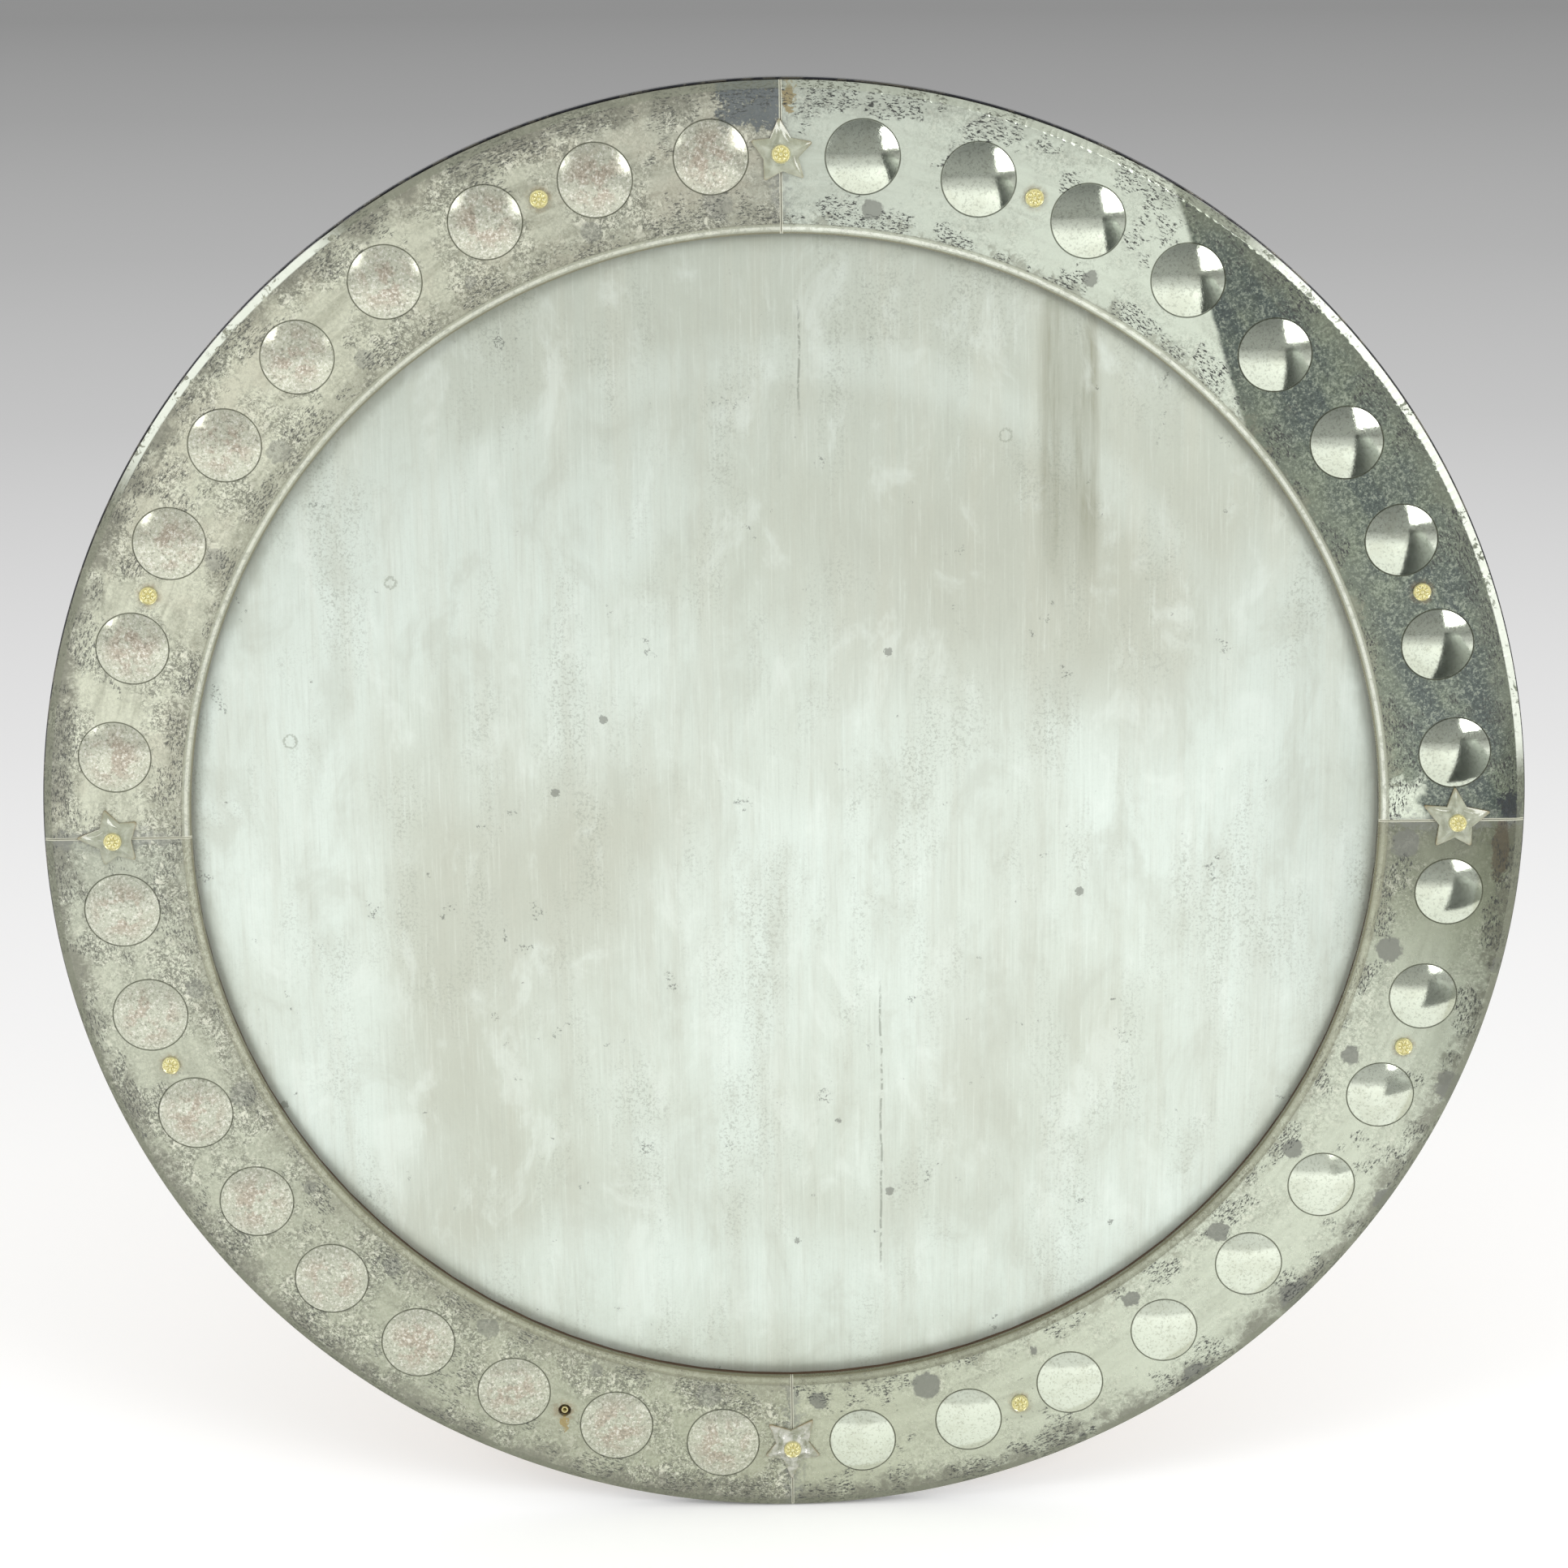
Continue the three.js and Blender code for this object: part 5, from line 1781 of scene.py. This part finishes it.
@shared
def bumper_tree():
    """Round bumpers with a rounded edge and a dimple, one on each point."""
    b, given, wanted = new_tree(
        "Wall bumpers",
        "GeometryNodeTree",
        {
            "Geometry": ("geometry", None),
            "Radius": ("float", 15 * MM),
            "Thickness": ("float", 11 * MM),
            "Chamfer": ("float", 1.5 * MM),
            "Dimple Radius": ("float", 4 * MM),
            "Seed": ("int", 7),
            "Material": ("material", None),
        },
        {"Geometry": "geometry"},
    )
    inputs = {
        "Vertices": 64,
        "Side Segments": 12,
        "Fill Segments": 14,
        "Radius": given["Radius"],
        "Depth": given["Thickness"],
    }
    disc = b.node("GeometryNodeMeshCylinder", inputs).outputs["Mesh"]
    x, y, z = b.split(b.node("GeometryNodeInputPosition").outputs[0])
    out = b.math("SQRT", b.math("ADD", b.math("MULTIPLY", x, x), b.math("MULTIPLY", y, y)))
    below_top = b.math("SUBTRACT", b.math("MULTIPLY", given["Thickness"], 0.5), z)
    short = b.math("MAXIMUM", b.math("SUBTRACT", given["Chamfer"], below_top), 0.0)
    round_in = b.math("SUBTRACT", b.math("MULTIPLY", given["Chamfer"], given["Chamfer"]), b.math("MULTIPLY", short, short))
    drawn = b.math("SUBTRACT", given["Chamfer"], b.math("SQRT", b.math("MAXIMUM", round_in, 0.0)))
    shrink = b.math("SUBTRACT", 1.0, b.math("DIVIDE", drawn, given["Radius"]))
    upper = b.math("LESS_THAN", below_top, 0.05 * MM)
    dimple = b.math("MULTIPLY", b.step(out, given["Dimple Radius"], b.math("MULTIPLY", given["Dimple Radius"], 0.7)), upper)
    sink = b.math("MULTIPLY", dimple, -1.6 * MM)
    moved = b.join(b.math("MULTIPLY", x, shrink), b.math("MULTIPLY", y, shrink), b.math("ADD", z, sink))
    shaped = b.node("GeometryNodeSetPosition", {"Geometry": disc, "Position": moved})
    seated = b.node(
        "GeometryNodeTransform",
        {"Geometry": shaped.outputs[0], "Translation": b.join(0.0, 0.0, b.math("MULTIPLY", given["Thickness"], 0.5))},
    )
    copies = place_copies(b, seated.outputs[0], given["Geometry"], TO_REAR, given["Seed"], math.tau)
    close_tree(b, wanted, copies, given["Material"])
    return b.tree


@shared
def wire_tree():
    """Round wire along the edges of the starting mesh, with closed ends."""
    b, given, wanted = new_tree(
        "Bent wire",
        "GeometryNodeTree",
        {
            "Geometry": ("geometry", None),
            "Wire Radius": ("float", 2.5 * MM),
            "Sides": ("int", 24),
            "Material": ("material", None),
        },
        {"Geometry": "geometry"},
    )
    line = b.node("GeometryNodeMeshToCurve", {"Mesh": given["Geometry"]})
    section = b.node("GeometryNodeCurvePrimitiveCircle", {"Resolution": given["Sides"], "Radius": given["Wire Radius"]})
    wire = b.node(
        "GeometryNodeCurveToMesh",
        {"Curve": line.outputs[0], "Profile Curve": section.outputs[0], "Fill Caps": True},
    )
    solid = b.node("GeometryNodeRealizeInstances", {0: wire.outputs[0]}).outputs[0]
    close_tree(b, wanted, solid, given["Material"])
    return b.tree


class MIRROR_OT_domed_plate(bpy.types.Operator):
    """Make the domed plate of old silvered glass"""

    bl_idname = "mirror.domed_plate"
    bl_label = "Domed plate"

    def execute(self, context):
        sizes = context.scene.mirror_plate
        rise = PLATE_REAR_EDGE - sizes.thickness - plate_low.y
        sphere = (PLATE_RADIUS**2 + rise**2) / (2 * rise)
        inputs = {
            "Radius": PLATE_RADIUS,
            "Thickness": sizes.thickness,
            "Sphere": sphere,
            "Rear": PLATE_REAR_EDGE,
            "Sides": sizes.sides,
            "Rings": sizes.rings,
            "Material": plate_silver(),
        }
        piece = grow("domed_plate", points_mesh("plate start", [(0, 0, 0)]), plate_tree(), inputs)
        smooth(piece.data, 40.0)
        finish_piece(piece, "plate_silver", "plate_mirror")
        return {"FINISHED"}


class MIRROR_OT_edge_band(bpy.types.Operator):
    """Make the enamelled band round the rim, with rounded lips"""

    bl_idname = "mirror.edge_band"
    bl_label = "Edge band"

    def execute(self, context):
        bead = context.scene.mirror_plate.band_bead
        outer = RIM_RADIUS
        inner = former_high.x + 0.3 * MM
        front, rear = band_low.y, band_high.y
        profile = []
        corners = ((outer, front, 180, 90), (outer, rear, 90, 0), (inner, rear, 0, -90), (inner, front, -90, -180))
        for radius, y, start, end in corners:
            centre_radius = radius - bead if radius == outer else radius + bead
            centre_y = y + bead if y == front else y - bead
            for step in range(4):
                angle = math.radians(start + (end - start) * step / 3)
                profile.append((centre_radius + bead * math.sin(angle), centre_y + bead * math.cos(angle)))
        mesh = turned_mesh("edge band", profile, 360, 50.0)
        piece = piece_from_mesh("edge_band", mesh, band_enamel())
        finish_piece(piece, "rim_metal", "rim_band")
        return {"FINISHED"}


class MIRROR_OT_glass_stars(bpy.types.Operator):
    """Make the four moulded glass stars over the seams"""

    bl_idname = "mirror.glass_stars"
    bl_label = "Glass stars"

    steps_per_arm = 28
    rings = 14

    def execute(self, context):
        sizes = context.scene.mirror_fixings
        for name, arms in STARS.items():
            mesh = self.star_mesh(name, arms, sizes)
            piece = piece_from_mesh(f"glass_star_{name}", mesh, star_glass())
            finish_piece(piece, "star_glass", f"star_{name}")
        return {"FINISHED"}

    def star_mesh(self, name, arms, sizes):
        low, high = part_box(f"star_{name}")
        rear, crown = high.y, low.y
        height = rear - crown
        centre = at_clock(seam_clock(name, list(STARS)), FIXING_RADIUS, 0)
        outline = self.outline(arms, sizes.star_notch)
        hole = sizes.star_hole / 2
        loops = []

        def loop(points):
            loops.append([(centre.x + x, y, centre.z + z) for x, y, z in points])

        def level(share, y_of):
            ring = []
            for clock, reach, ridge in outline:
                radius = sizes.star_seat + (reach - sizes.star_seat) * share
                place = at_clock(clock, radius, 0)
                ring.append((place.x, y_of(share, ridge, radius), place.z))
            return ring

        def flat_ring(radius, y):
            return [(*at_clock(clock, radius, 0).xz, y) for clock, _, _ in outline]

        fluted = name == "bottom"

        def top(share, ridge, radius):
            edge = sizes.star_edge + (1 - ridge) * 0.6 * MM
            fall = (1 - share) ** 1.15
            crest = 0.12 + 0.88 * ridge
            rise = edge + (height - edge) * fall * (1 - (1 - crest) * math.sin(math.pi * share))
            if fluted:
                rise += 0.4 * MM * math.sin(radius / (0.55 * MM)) * math.sin(math.pi * share)
            return rear - rise

        def dished(radius, y):
            return [(x, y, z) for x, z, y in flat_ring(radius, y)]

        loop(dished(hole, rear))
        loop(level(1.0, lambda share, ridge, radius: rear))
        loop(level(1.0, lambda share, ridge, radius: rear - (sizes.star_edge + (1 - ridge) * 0.6 * MM) * 0.75))
        for ring in range(1, self.rings):
            share = 1.0 - (ring - 0.6) / self.rings
            loop(level(share, top))
        loop(dished(sizes.star_seat, crown))
        loop(dished(hole, crown))

        vertices = [point for ring in loops for point in ring]
        count = len(outline)
        faces = []
        for index in range(len(loops)):
            following = (index + 1) % len(loops)
            for side in range(count):
                after = (side + 1) % count
                faces.append([
                    index * count + side,
                    index * count + after,
                    following * count + after,
                    following * count + side,
                ])
        mesh = mesh_from(f"{name} star", vertices, faces, 16.0)
        face_outwards(mesh, 16.0)
        return mesh

    def outline(self, arms, notch):
        """(clock, radius, ridge) round a star; ridge is 1 on an arm's middle and 0 in a notch."""
        points = []
        for index, (direction, tip) in enumerate(arms):
            following, next_tip = arms[(index + 1) % len(arms)]
            if index + 1 == len(arms):
                following += FULL_TURN
            middle = (direction + following) / 2
            for start, from_radius, end, to_radius, rising in (
                (direction, tip * MM, middle, notch, False),
                (middle, notch, following, next_tip * MM, True),
            ):
                first = at_clock(start, from_radius, 0)
                last = at_clock(end, to_radius, 0)
                half = self.steps_per_arm // 2
                for step in range(half):
                    share = step / half
                    place = first.lerp(last, share)
                    ridge = share if rising else 1 - share
                    blunt = 1.0 - 0.05 * max(0.0, ridge - 0.88) / 0.12
                    clock = math.degrees(math.atan2(place.x, place.z))
                    points.append((clock, place.length * blunt, ridge))
        return points


class MIRROR_OT_rosette_caps(bpy.types.Operator):
    """Make the brass rosette caps with their studs"""

    bl_idname = "mirror.rosette_caps"
    bl_label = "Rosette caps"

    def execute(self, context):
        sizes = context.scene.mirror_fixings
        nodes = sorted(node for node in frame["nodes"] if node.startswith("cap_"))
        families = {
            "gap_caps": [node for node in nodes if not node.startswith("cap_star")],
            "star_caps": [node for node in nodes if node.startswith("cap_star")],
        }
        for seed, (name, members) in enumerate(families.items()):
            low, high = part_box(members[0])
            height = self.cap_height(low, high, members[0])
            seat = low.y + height
            points = [middle_of(node) for node in members]
            points = [(point.x, seat, point.z) for point in points]
            inputs = {
                "Radius": (high.x - low.x) / 2,
                "Height": height,
                "Rim Height": sizes.cap_rim,
                "Petals": sizes.petals,
                "Stud Length": high.y - seat,
                "Seed": seed + 3,
                "Material": cap_brass(),
            }
            piece = grow(name, points_mesh(f"{name} places", points), rosette_tree(), inputs)
            smooth(piece.data, 55.0)
            finish_piece(piece, "cap_brass", *members)
        return {"FINISHED"}

    def cap_height(self, low, high, node):
        """Height of a cap over its seat, read from the widest part of its node."""
        mesh = frame["nodes"][node].data
        centre = (low + high) / 2
        wide = (high.x - low.x) / 2 * 0.9
        rims = [v.co.y for v in mesh.vertices if math.hypot(v.co.x - centre.x, v.co.z - centre.z) > wide]
        return max(rims) - low.y


class MIRROR_OT_sockets(bpy.types.Operator):
    """Make the bare socket at the lower left and finish the hidden ones"""

    bl_idname = "mirror.sockets"
    bl_label = "Sockets"

    bare = "socket_bottom_left_1"

    def execute(self, context):
        for node, piece in frame["nodes"].items():
            if node.startswith("socket_") and node != self.bare:
                dress_node(node, socket_brass())
        low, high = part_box(self.bare)
        centre = (low + high) / 2
        outer = (high.z - low.z) / 2
        bore = outer * 0.6
        depth = 7 * MM
        pitch = 0.5 * MM
        profile = [(bore + 0.2 * MM, low.y), (outer - 0.25 * MM, low.y), (outer, low.y + 0.25 * MM)]
        profile += [(outer, high.y), (0, high.y), (0, low.y + depth)]
        turns = int((depth - 0.6 * MM) / pitch)
        for turn in range(turns, 0, -1):
            y = low.y + 0.3 * MM + turn * pitch
            profile += [(bore, y), (bore + 0.16 * MM, y - pitch / 2)]
        profile.append((bore, low.y + 0.25 * MM))
        mesh = turned_mesh("bare socket", profile, 32, 40.0)
        mesh.transform(Matrix.Translation((centre.x, 0.0, centre.z)))
        piece = piece_from_mesh("bare_socket", mesh, socket_brass())
        finish_piece(piece, "socket_brass", self.bare)
        return {"FINISHED"}


def dress_node(node, material):
    piece = frame["nodes"][node]
    if not piece.material_slots:
        piece.data.materials.append(material)
    for slot in piece.material_slots:
        slot.material = material


class MIRROR_OT_wooden_back(bpy.types.Operator):
    """Finish the back board, the ring that carries the glass and the packing"""

    bl_idname = "mirror.wooden_back"
    bl_label = "Wooden back"

    def execute(self, context):
        dress_node("back_board", board_wood())
        dress_node("ring_former", former_wood())
        dress_node("packing_ring", packing_felt())
        return {"FINISHED"}


class MIRROR_OT_wood_screws(bpy.types.Operator):
    """Make the slotted screws of the board and of the straps"""

    bl_idname = "mirror.wood_screws"
    bl_label = "Wood screws"

    def execute(self, context):
        sizes = context.scene.mirror_fixings
        for seed, prefix in enumerate(("board_screw", "strap_screw")):
            nodes = sorted(node for node in frame["nodes"] if node.startswith(f"{prefix}_"))
            low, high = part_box(nodes[0])
            points = [(middle_of(node).x, high.y, middle_of(node).z) for node in nodes]
            inputs = {
                "Head Radius": sizes.screw_head / 2,
                "Head Height": sizes.screw_head_height,
                "Shank Radius": sizes.screw_shank / 2,
                "Length": high.y - low.y,
                "Point Length": sizes.screw_point,
                "Thread Pitch": sizes.thread_pitch,
                "Slot Width": sizes.slot_width,
                "Slot Depth": sizes.slot_depth,
                "Seed": seed + 5,
                "Material": zinc_steel(),
            }
            name = f"{prefix}s"
            piece = grow(name, points_mesh(f"{name} places", points), screw_tree(), inputs)
            smooth(piece.data, 35.0)
            finish_piece(piece, "screw_steel", *nodes)
        return {"FINISHED"}


class MIRROR_OT_wall_bumpers(bpy.types.Operator):
    """Make the rubber bumpers that rest on the wall"""

    bl_idname = "mirror.wall_bumpers"
    bl_label = "Wall bumpers"

    def execute(self, context):
        sizes = context.scene.mirror_fixings
        nodes = sorted(node for node in frame["nodes"] if node.startswith("bumper_"))
        low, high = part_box(nodes[0])
        points = [(middle_of(node).x, low.y, middle_of(node).z) for node in nodes]
        inputs = {
            "Radius": (high.x - low.x) / 2,
            "Thickness": high.y - low.y,
            "Chamfer": sizes.bumper_chamfer,
            "Dimple Radius": sizes.bumper_dimple / 2,
            "Material": bumper_rubber(),
        }
        piece = grow("wall_bumpers", points_mesh("bumper places", points), bumper_tree(), inputs)
        smooth(piece.data, 40.0)
        finish_piece(piece, "bumper_rubber", *nodes)
        return {"FINISHED"}


class MIRROR_OT_hangers(bpy.types.Operator):
    """Make the strap hangers and the D-rings that turn in them"""

    bl_idname = "mirror.hangers"
    bl_label = "Hangers"

    side_steps = 16
    eye_steps = 28
    hole_sides = 24

    def execute(self, context):
        sizes = context.scene.mirror_hangers
        joints = {joint["child"]: joint for joint in frame["joints"]}
        for side in ("left", "right"):
            axis = Vector(joints[f"{side}_ring"]["pos_m"])
            strap = self.strap_mesh(side, axis, sizes)
            piece = piece_from_mesh(f"hanger_strap_{side}", strap, zinc_steel())
            finish_piece(piece, "hanger_steel", f"strap_{side}")
            route = self.ring_route(axis, sizes)
            edges = [(index, index + 1) for index in range(len(route) - 1)]
            start = points_mesh(f"{side} ring route", route, edges)
            inputs = {"Wire Radius": sizes.wire / 2, "Sides": 24, "Material": zinc_steel()}
            ring = grow(f"d_ring_{side}", start, wire_tree(), inputs)
            smooth(ring.data, 40.0)
            finish_piece(ring, "hanger_steel", f"hanging_ring_{side}", body=f"{side}_ring")
        return {"FINISHED"}

    def ring_route(self, axis, sizes):
        half = sizes.ring_width / 2 + sizes.wire / 2
        corner = sizes.ring_corner
        centre_drop = half - sizes.ring_length
        points = [(sizes.butt_gap / 2, 0.0)]
        arcs = (
            (half - corner, -corner, corner, 90, 0, 8),
            (0.0, centre_drop, half, 0, -180, 40),
            (corner - half, -corner, corner, 180, 90, 8),
        )
        for x, z, radius, start, end, steps in arcs:
            for step in range(steps + 1):
                angle = math.radians(start + (end - start) * step / steps)
                points.append((x + radius * math.cos(angle), z + radius * math.sin(angle)))
        points.append((-sizes.butt_gap / 2, 0.0))
        return [(axis.x + x, axis.y, axis.z + z) for x, z in points]

    def strap_mesh(self, side, axis, sizes):
        """A flat strip with two countersunk holes whose upper end rolls into an eye."""
        width, thickness = sizes.strap_width, sizes.strap_thickness
        eye_inner = sizes.wire / 2 + sizes.eye_clearance
        bend = eye_inner + thickness / 2
        neck = -eye_inner * 0.2
        drop = sizes.strap_length
        flat_start = 0.0
        rolled = math.radians(330) * bend

        half = width / 2
        outline = []
        rolled_steps = [rolled * step / self.eye_steps for step in range(1, self.eye_steps + 1)]
        outline += [(half, up) for up in [-drop + half + (drop - half) * s / 10 for s in range(11)]]
        outline += [(half, up) for up in rolled_steps]
        across = 10
        outline += [(half - width * s / across, rolled) for s in range(1, across)]
        outline += [(-half, up) for up in reversed(rolled_steps)]
        outline += [(-half, up) for up in [-(drop - half) * s / 10 for s in range(11)]]
        for step in range(1, self.side_steps):
            angle = math.radians(180 + 180 * step / self.side_steps)
            outline.append((half * math.cos(angle), -drop + half + half * math.sin(angle)))

        holes, radii = [], []
        for screw_drop in (sizes.first_screw, sizes.strap_length - sizes.end_screw):
            hole = []
            for step in range(self.hole_sides):
                angle = math.tau * step / self.hole_sides
                hole.append((math.cos(angle), math.sin(angle)))
            holes.append((screw_drop, hole))

        fixings = bpy.context.scene.mirror_fixings
        wide = fixings.screw_head / 2 + 0.3 * MM
        slope = (fixings.screw_head - fixings.screw_shank) / 2 / fixings.screw_head_height
        narrow = wide - slope * thickness
        plane = list(outline)
        loops = [list(range(len(outline)))]
        for screw_drop, hole in holes:
            loops.append(list(range(len(plane), len(plane) + len(hole))))
            plane += [(x * wide, -screw_drop + y * wide) for x, y in hole]
        inner_grid = [
            (-half + width * s / across, up) for up in rolled_steps[:-1] for s in range(1, across)
        ]
        inner_grid += [(-half + width * s / across, 0.0) for s in range(1, across)]
        points = [Vector(point) for point in plane + inner_grid]
        made = delaunay_2d_cdt(points, [], loops, 1, 1e-7, True)
        hole_loops = loops[1:]
        hole_of = {index: number for number, loop in enumerate(hole_loops) for index in loop}

        def bent(point, index, outside):
            """Where a point of the flat strip lies on its board side or its outer side."""
            x, up = point
            if index in hole_of:
                screw_drop, _ = holes[hole_of[index]]
                if not outside:
                    share = narrow / wide
                    x, up = x * share, -screw_drop + (up + screw_drop) * share
            off = thickness / 2 if outside else -thickness / 2
            if up <= 0:
                return Vector((axis.x + x, thickness / 2 + off, axis.z + up))
            angle = up / bend
            radius = bend - off
            centre_y = axis.y
            y = centre_y - radius * math.cos(angle)
            z = axis.z + radius * math.sin(angle)
            return Vector((axis.x + x, y, z))

        count = len(points)
        vertices = [bent(points[i], i, True) for i in range(count)]
        vertices += [bent(points[i], i, False) for i in range(count)]
        faces = []
        for face, owners in zip(made[2], made[5]):
            if list(owners) != [0]:
                continue
            corners = [made[3][corner][0] for corner in face]
            faces.append(corners)
            faces.append([corner + count for corner in reversed(corners)])
        for loop in loops:
            for index, start in enumerate(loop):
                after = loop[(index + 1) % len(loop)]
                faces.append([start, after, after + count, start + count])
        mesh = mesh_from(f"{side} strap", vertices, faces, 35.0)
        face_outwards(mesh, 35.0)
        return mesh


# Studio


# Distance from the mirror in metres and the floor's grey there
FLOOR_FADE = ((1.24, 246), (2.3, 230), (4.7, 202), (7.2, 184), (11.0, 166))


class MIRROR_OT_studio(bpy.types.Operator):
    """Set up the pale floor, the soft lights, the even world light and the camera"""

    bl_idname = "mirror.studio"
    bl_label = "Studio"

    floor_half = 40.0
    camera_place = (-0.0447, -2.5937, 0.7427)
    camera_turn = (74.553, 0.515, -1.102)

    def execute(self, context):
        scene = context.scene
        settings = scene.mirror_studio
        scene.view_settings.view_transform = "Standard"
        self.make_floor(settings)
        self.make_dark_card()
        self.make_world(scene, settings)
        self.make_lights(scene, settings)
        self.make_camera(scene, settings)
        return {"FINISHED"}

    def make_floor(self, settings):
        level = frame_box[0].z
        half = self.floor_half
        corners = [(-half, -half, level), (half, -half, level), (half, half, level), (-half, half, level)]
        mesh = bpy.data.meshes.new("floor")
        mesh.from_pydata(corners, [], [(0, 1, 2, 3)])
        material, b, shader, place = new_finish("Floor")
        x, y, _ = b.split(place)
        behind = b.math("MAXIMUM", y, b.math("MULTIPLY", y, -0.3))
        away = b.vector("LENGTH", b.join(b.math("MULTIPLY", x, 0.6), behind, 0.0))
        near, far = rgba(settings.floor_colour), rgba(settings.far_colour)
        stops = [(0.0, near), (0.05, near)]
        stops += [(metres / 16.0, paint(grey, grey, grey)) for metres, grey in FLOOR_FADE]
        shade = b.ramp(b.math("DIVIDE", away, 16.0), *stops, (1.0, far))
        b.put(shader["Base Color"], shade)
        seen = b.node("ShaderNodeLightPath").outputs["Is Camera Ray"]
        b.put(shader["Emission Color"], shade)
        b.put(shader["Emission Strength"], b.math("MULTIPLY", seen, 0.13))
        shader["Roughness"].default_value = 0.9
        shader["Specular IOR Level"].default_value = 0.0
        floor = piece_from_mesh("floor", mesh, material)

    def make_dark_card(self):
        """A dark card that lies low at the right, and that only reflections show."""
        corners = [(0.50, -0.3, -0.3), (1.1, -0.3, -0.3), (2.9, -4.2, 0.25), (1.70, -4.2, 0.25)]
        mesh = bpy.data.meshes.new("dark card")
        mesh.from_pydata(corners, [], [(0, 1, 2, 3)])
        material, b, shader, place = new_finish("Dark card")
        x, y, _ = b.split(place)
        left = b.math("ADD", 0.4, b.math("MULTIPLY", y, -0.31))
        across = b.math("DIVIDE", b.math("SUBTRACT", x, left), b.math("ADD", 0.55, b.math("MULTIPLY", y, -0.16)))
        b.put(shader["Base Color"], b.mix(b.step(across, 0.1, 1.0), paint(58, 62, 60), paint(176, 180, 176)))
        shader["Roughness"].default_value = 1.0
        card = piece_from_mesh("dark_card", mesh, material)
        card.visible_camera = False
        card.visible_diffuse = False
        card.visible_transmission = False
        card.visible_shadow = False

    def make_world(self, scene, settings):
        world = bpy.data.worlds.new("Studio air")
        world.use_nodes = True
        world.node_tree.nodes.clear()
        b = Builder(world.node_tree)
        rays = b.node("ShaderNodeLightPath").outputs
        seen = b.math("MAXIMUM", rays["Is Camera Ray"], rays["Is Glossy Ray"])
        seen = b.math("MAXIMUM", seen, rays["Is Transmission Ray"])
        even = b.node("ShaderNodeBackground", {"Color": (1.0, 1.0, 1.0, 1.0), "Strength": settings.world_level})
        _, _, up = b.split(b.node("ShaderNodeTexCoord").outputs["Generated"])
        shade = b.mix(b.step(up, 0.0, 0.7), paint(166, 167, 166), paint(118, 120, 120))
        air = b.node("ShaderNodeBackground", {"Color": shade, "Strength": 1.0})
        both = b.node("ShaderNodeMixShader", {0: seen, 1: even.outputs[0], 2: air.outputs[0]})
        output = b.node("ShaderNodeOutputWorld")
        b.put(output.inputs["Surface"], both.outputs[0])
        scene.world = world

    def make_lights(self, scene, settings):
        boxes = {
            "right_soft_box": ((2.0, -2.5, 1.25), settings.key_power, (1.5, 1.3)),
            "left_soft_box": ((-2.3, -2.2, 1.5), settings.fill_power, (1.1, 1.3)),
        }
        for name, (place, power, size) in boxes.items():
            lamp = bpy.data.lights.new(name, "AREA")
            lamp.shape = "RECTANGLE"
            lamp.size, lamp.size_y = size
            lamp.energy = power
            box = bpy.data.objects.new(name, lamp)
            box.location = place
            box.rotation_euler = (-Vector(place)).to_track_quat("-Z", "Y").to_euler()
            box.visible_camera = False
            scene.collection.objects.link(box)

    def make_camera(self, scene, settings):
        lens = bpy.data.cameras.new("camera")
        lens.lens = settings.lens_length
        lens.sensor_width = 36.0
        lens.clip_end = 200.0
        camera = bpy.data.objects.new("camera", lens)
        camera.location = self.camera_place
        camera.rotation_euler = [math.radians(turn) for turn in self.camera_turn]
        scene.collection.objects.link(camera)
        scene.camera = camera


OPERATORS = (
    MIRROR_OT_border_glass,
    MIRROR_OT_domed_plate,
    MIRROR_OT_edge_band,
    MIRROR_OT_glass_stars,
    MIRROR_OT_rosette_caps,
    MIRROR_OT_sockets,
    MIRROR_OT_wooden_back,
    MIRROR_OT_wood_screws,
    MIRROR_OT_wall_bumpers,
    MIRROR_OT_hangers,
    MIRROR_OT_studio,
)


class MIRROR_PT_pieces(bpy.types.Panel):
    """Lists the mirror's sizes, colours and pieces"""

    bl_idname = "MIRROR_PT_pieces"
    bl_label = "Bordered mirror"
    bl_space_type = "VIEW_3D"
    bl_region_type = "UI"
    bl_category = PANEL_TAB

    def draw(self, context):
        for name, group in SETTINGS.items():
            box = self.layout.box()
            box.label(text=group.bl_rna.name)
            settings = getattr(context.scene, name)
            for key in group.__annotations__:
                box.prop(settings, key)
        for operator in OPERATORS:
            self.layout.operator(operator.bl_idname)


CLASSES = (*SETTINGS.values(), *OPERATORS, MIRROR_PT_pieces)


def register():
    for made in CLASSES:
        bpy.utils.register_class(made)
    for name, group in SETTINGS.items():
        setattr(bpy.types.Scene, name, bpy.props.PointerProperty(type=group))


def unregister():
    for name in SETTINGS:
        delattr(bpy.types.Scene, name)
    for made in reversed(CLASSES):
        bpy.utils.unregister_class(made)


def main():
    register()
    for operator in OPERATORS:
        family, action = operator.bl_idname.split(".")
        result = getattr(getattr(bpy.ops, family), action)()
        if "FINISHED" not in result:
            raise RuntimeError(f"{operator.bl_label} did not finish")


if __name__ == "__main__":
    main()
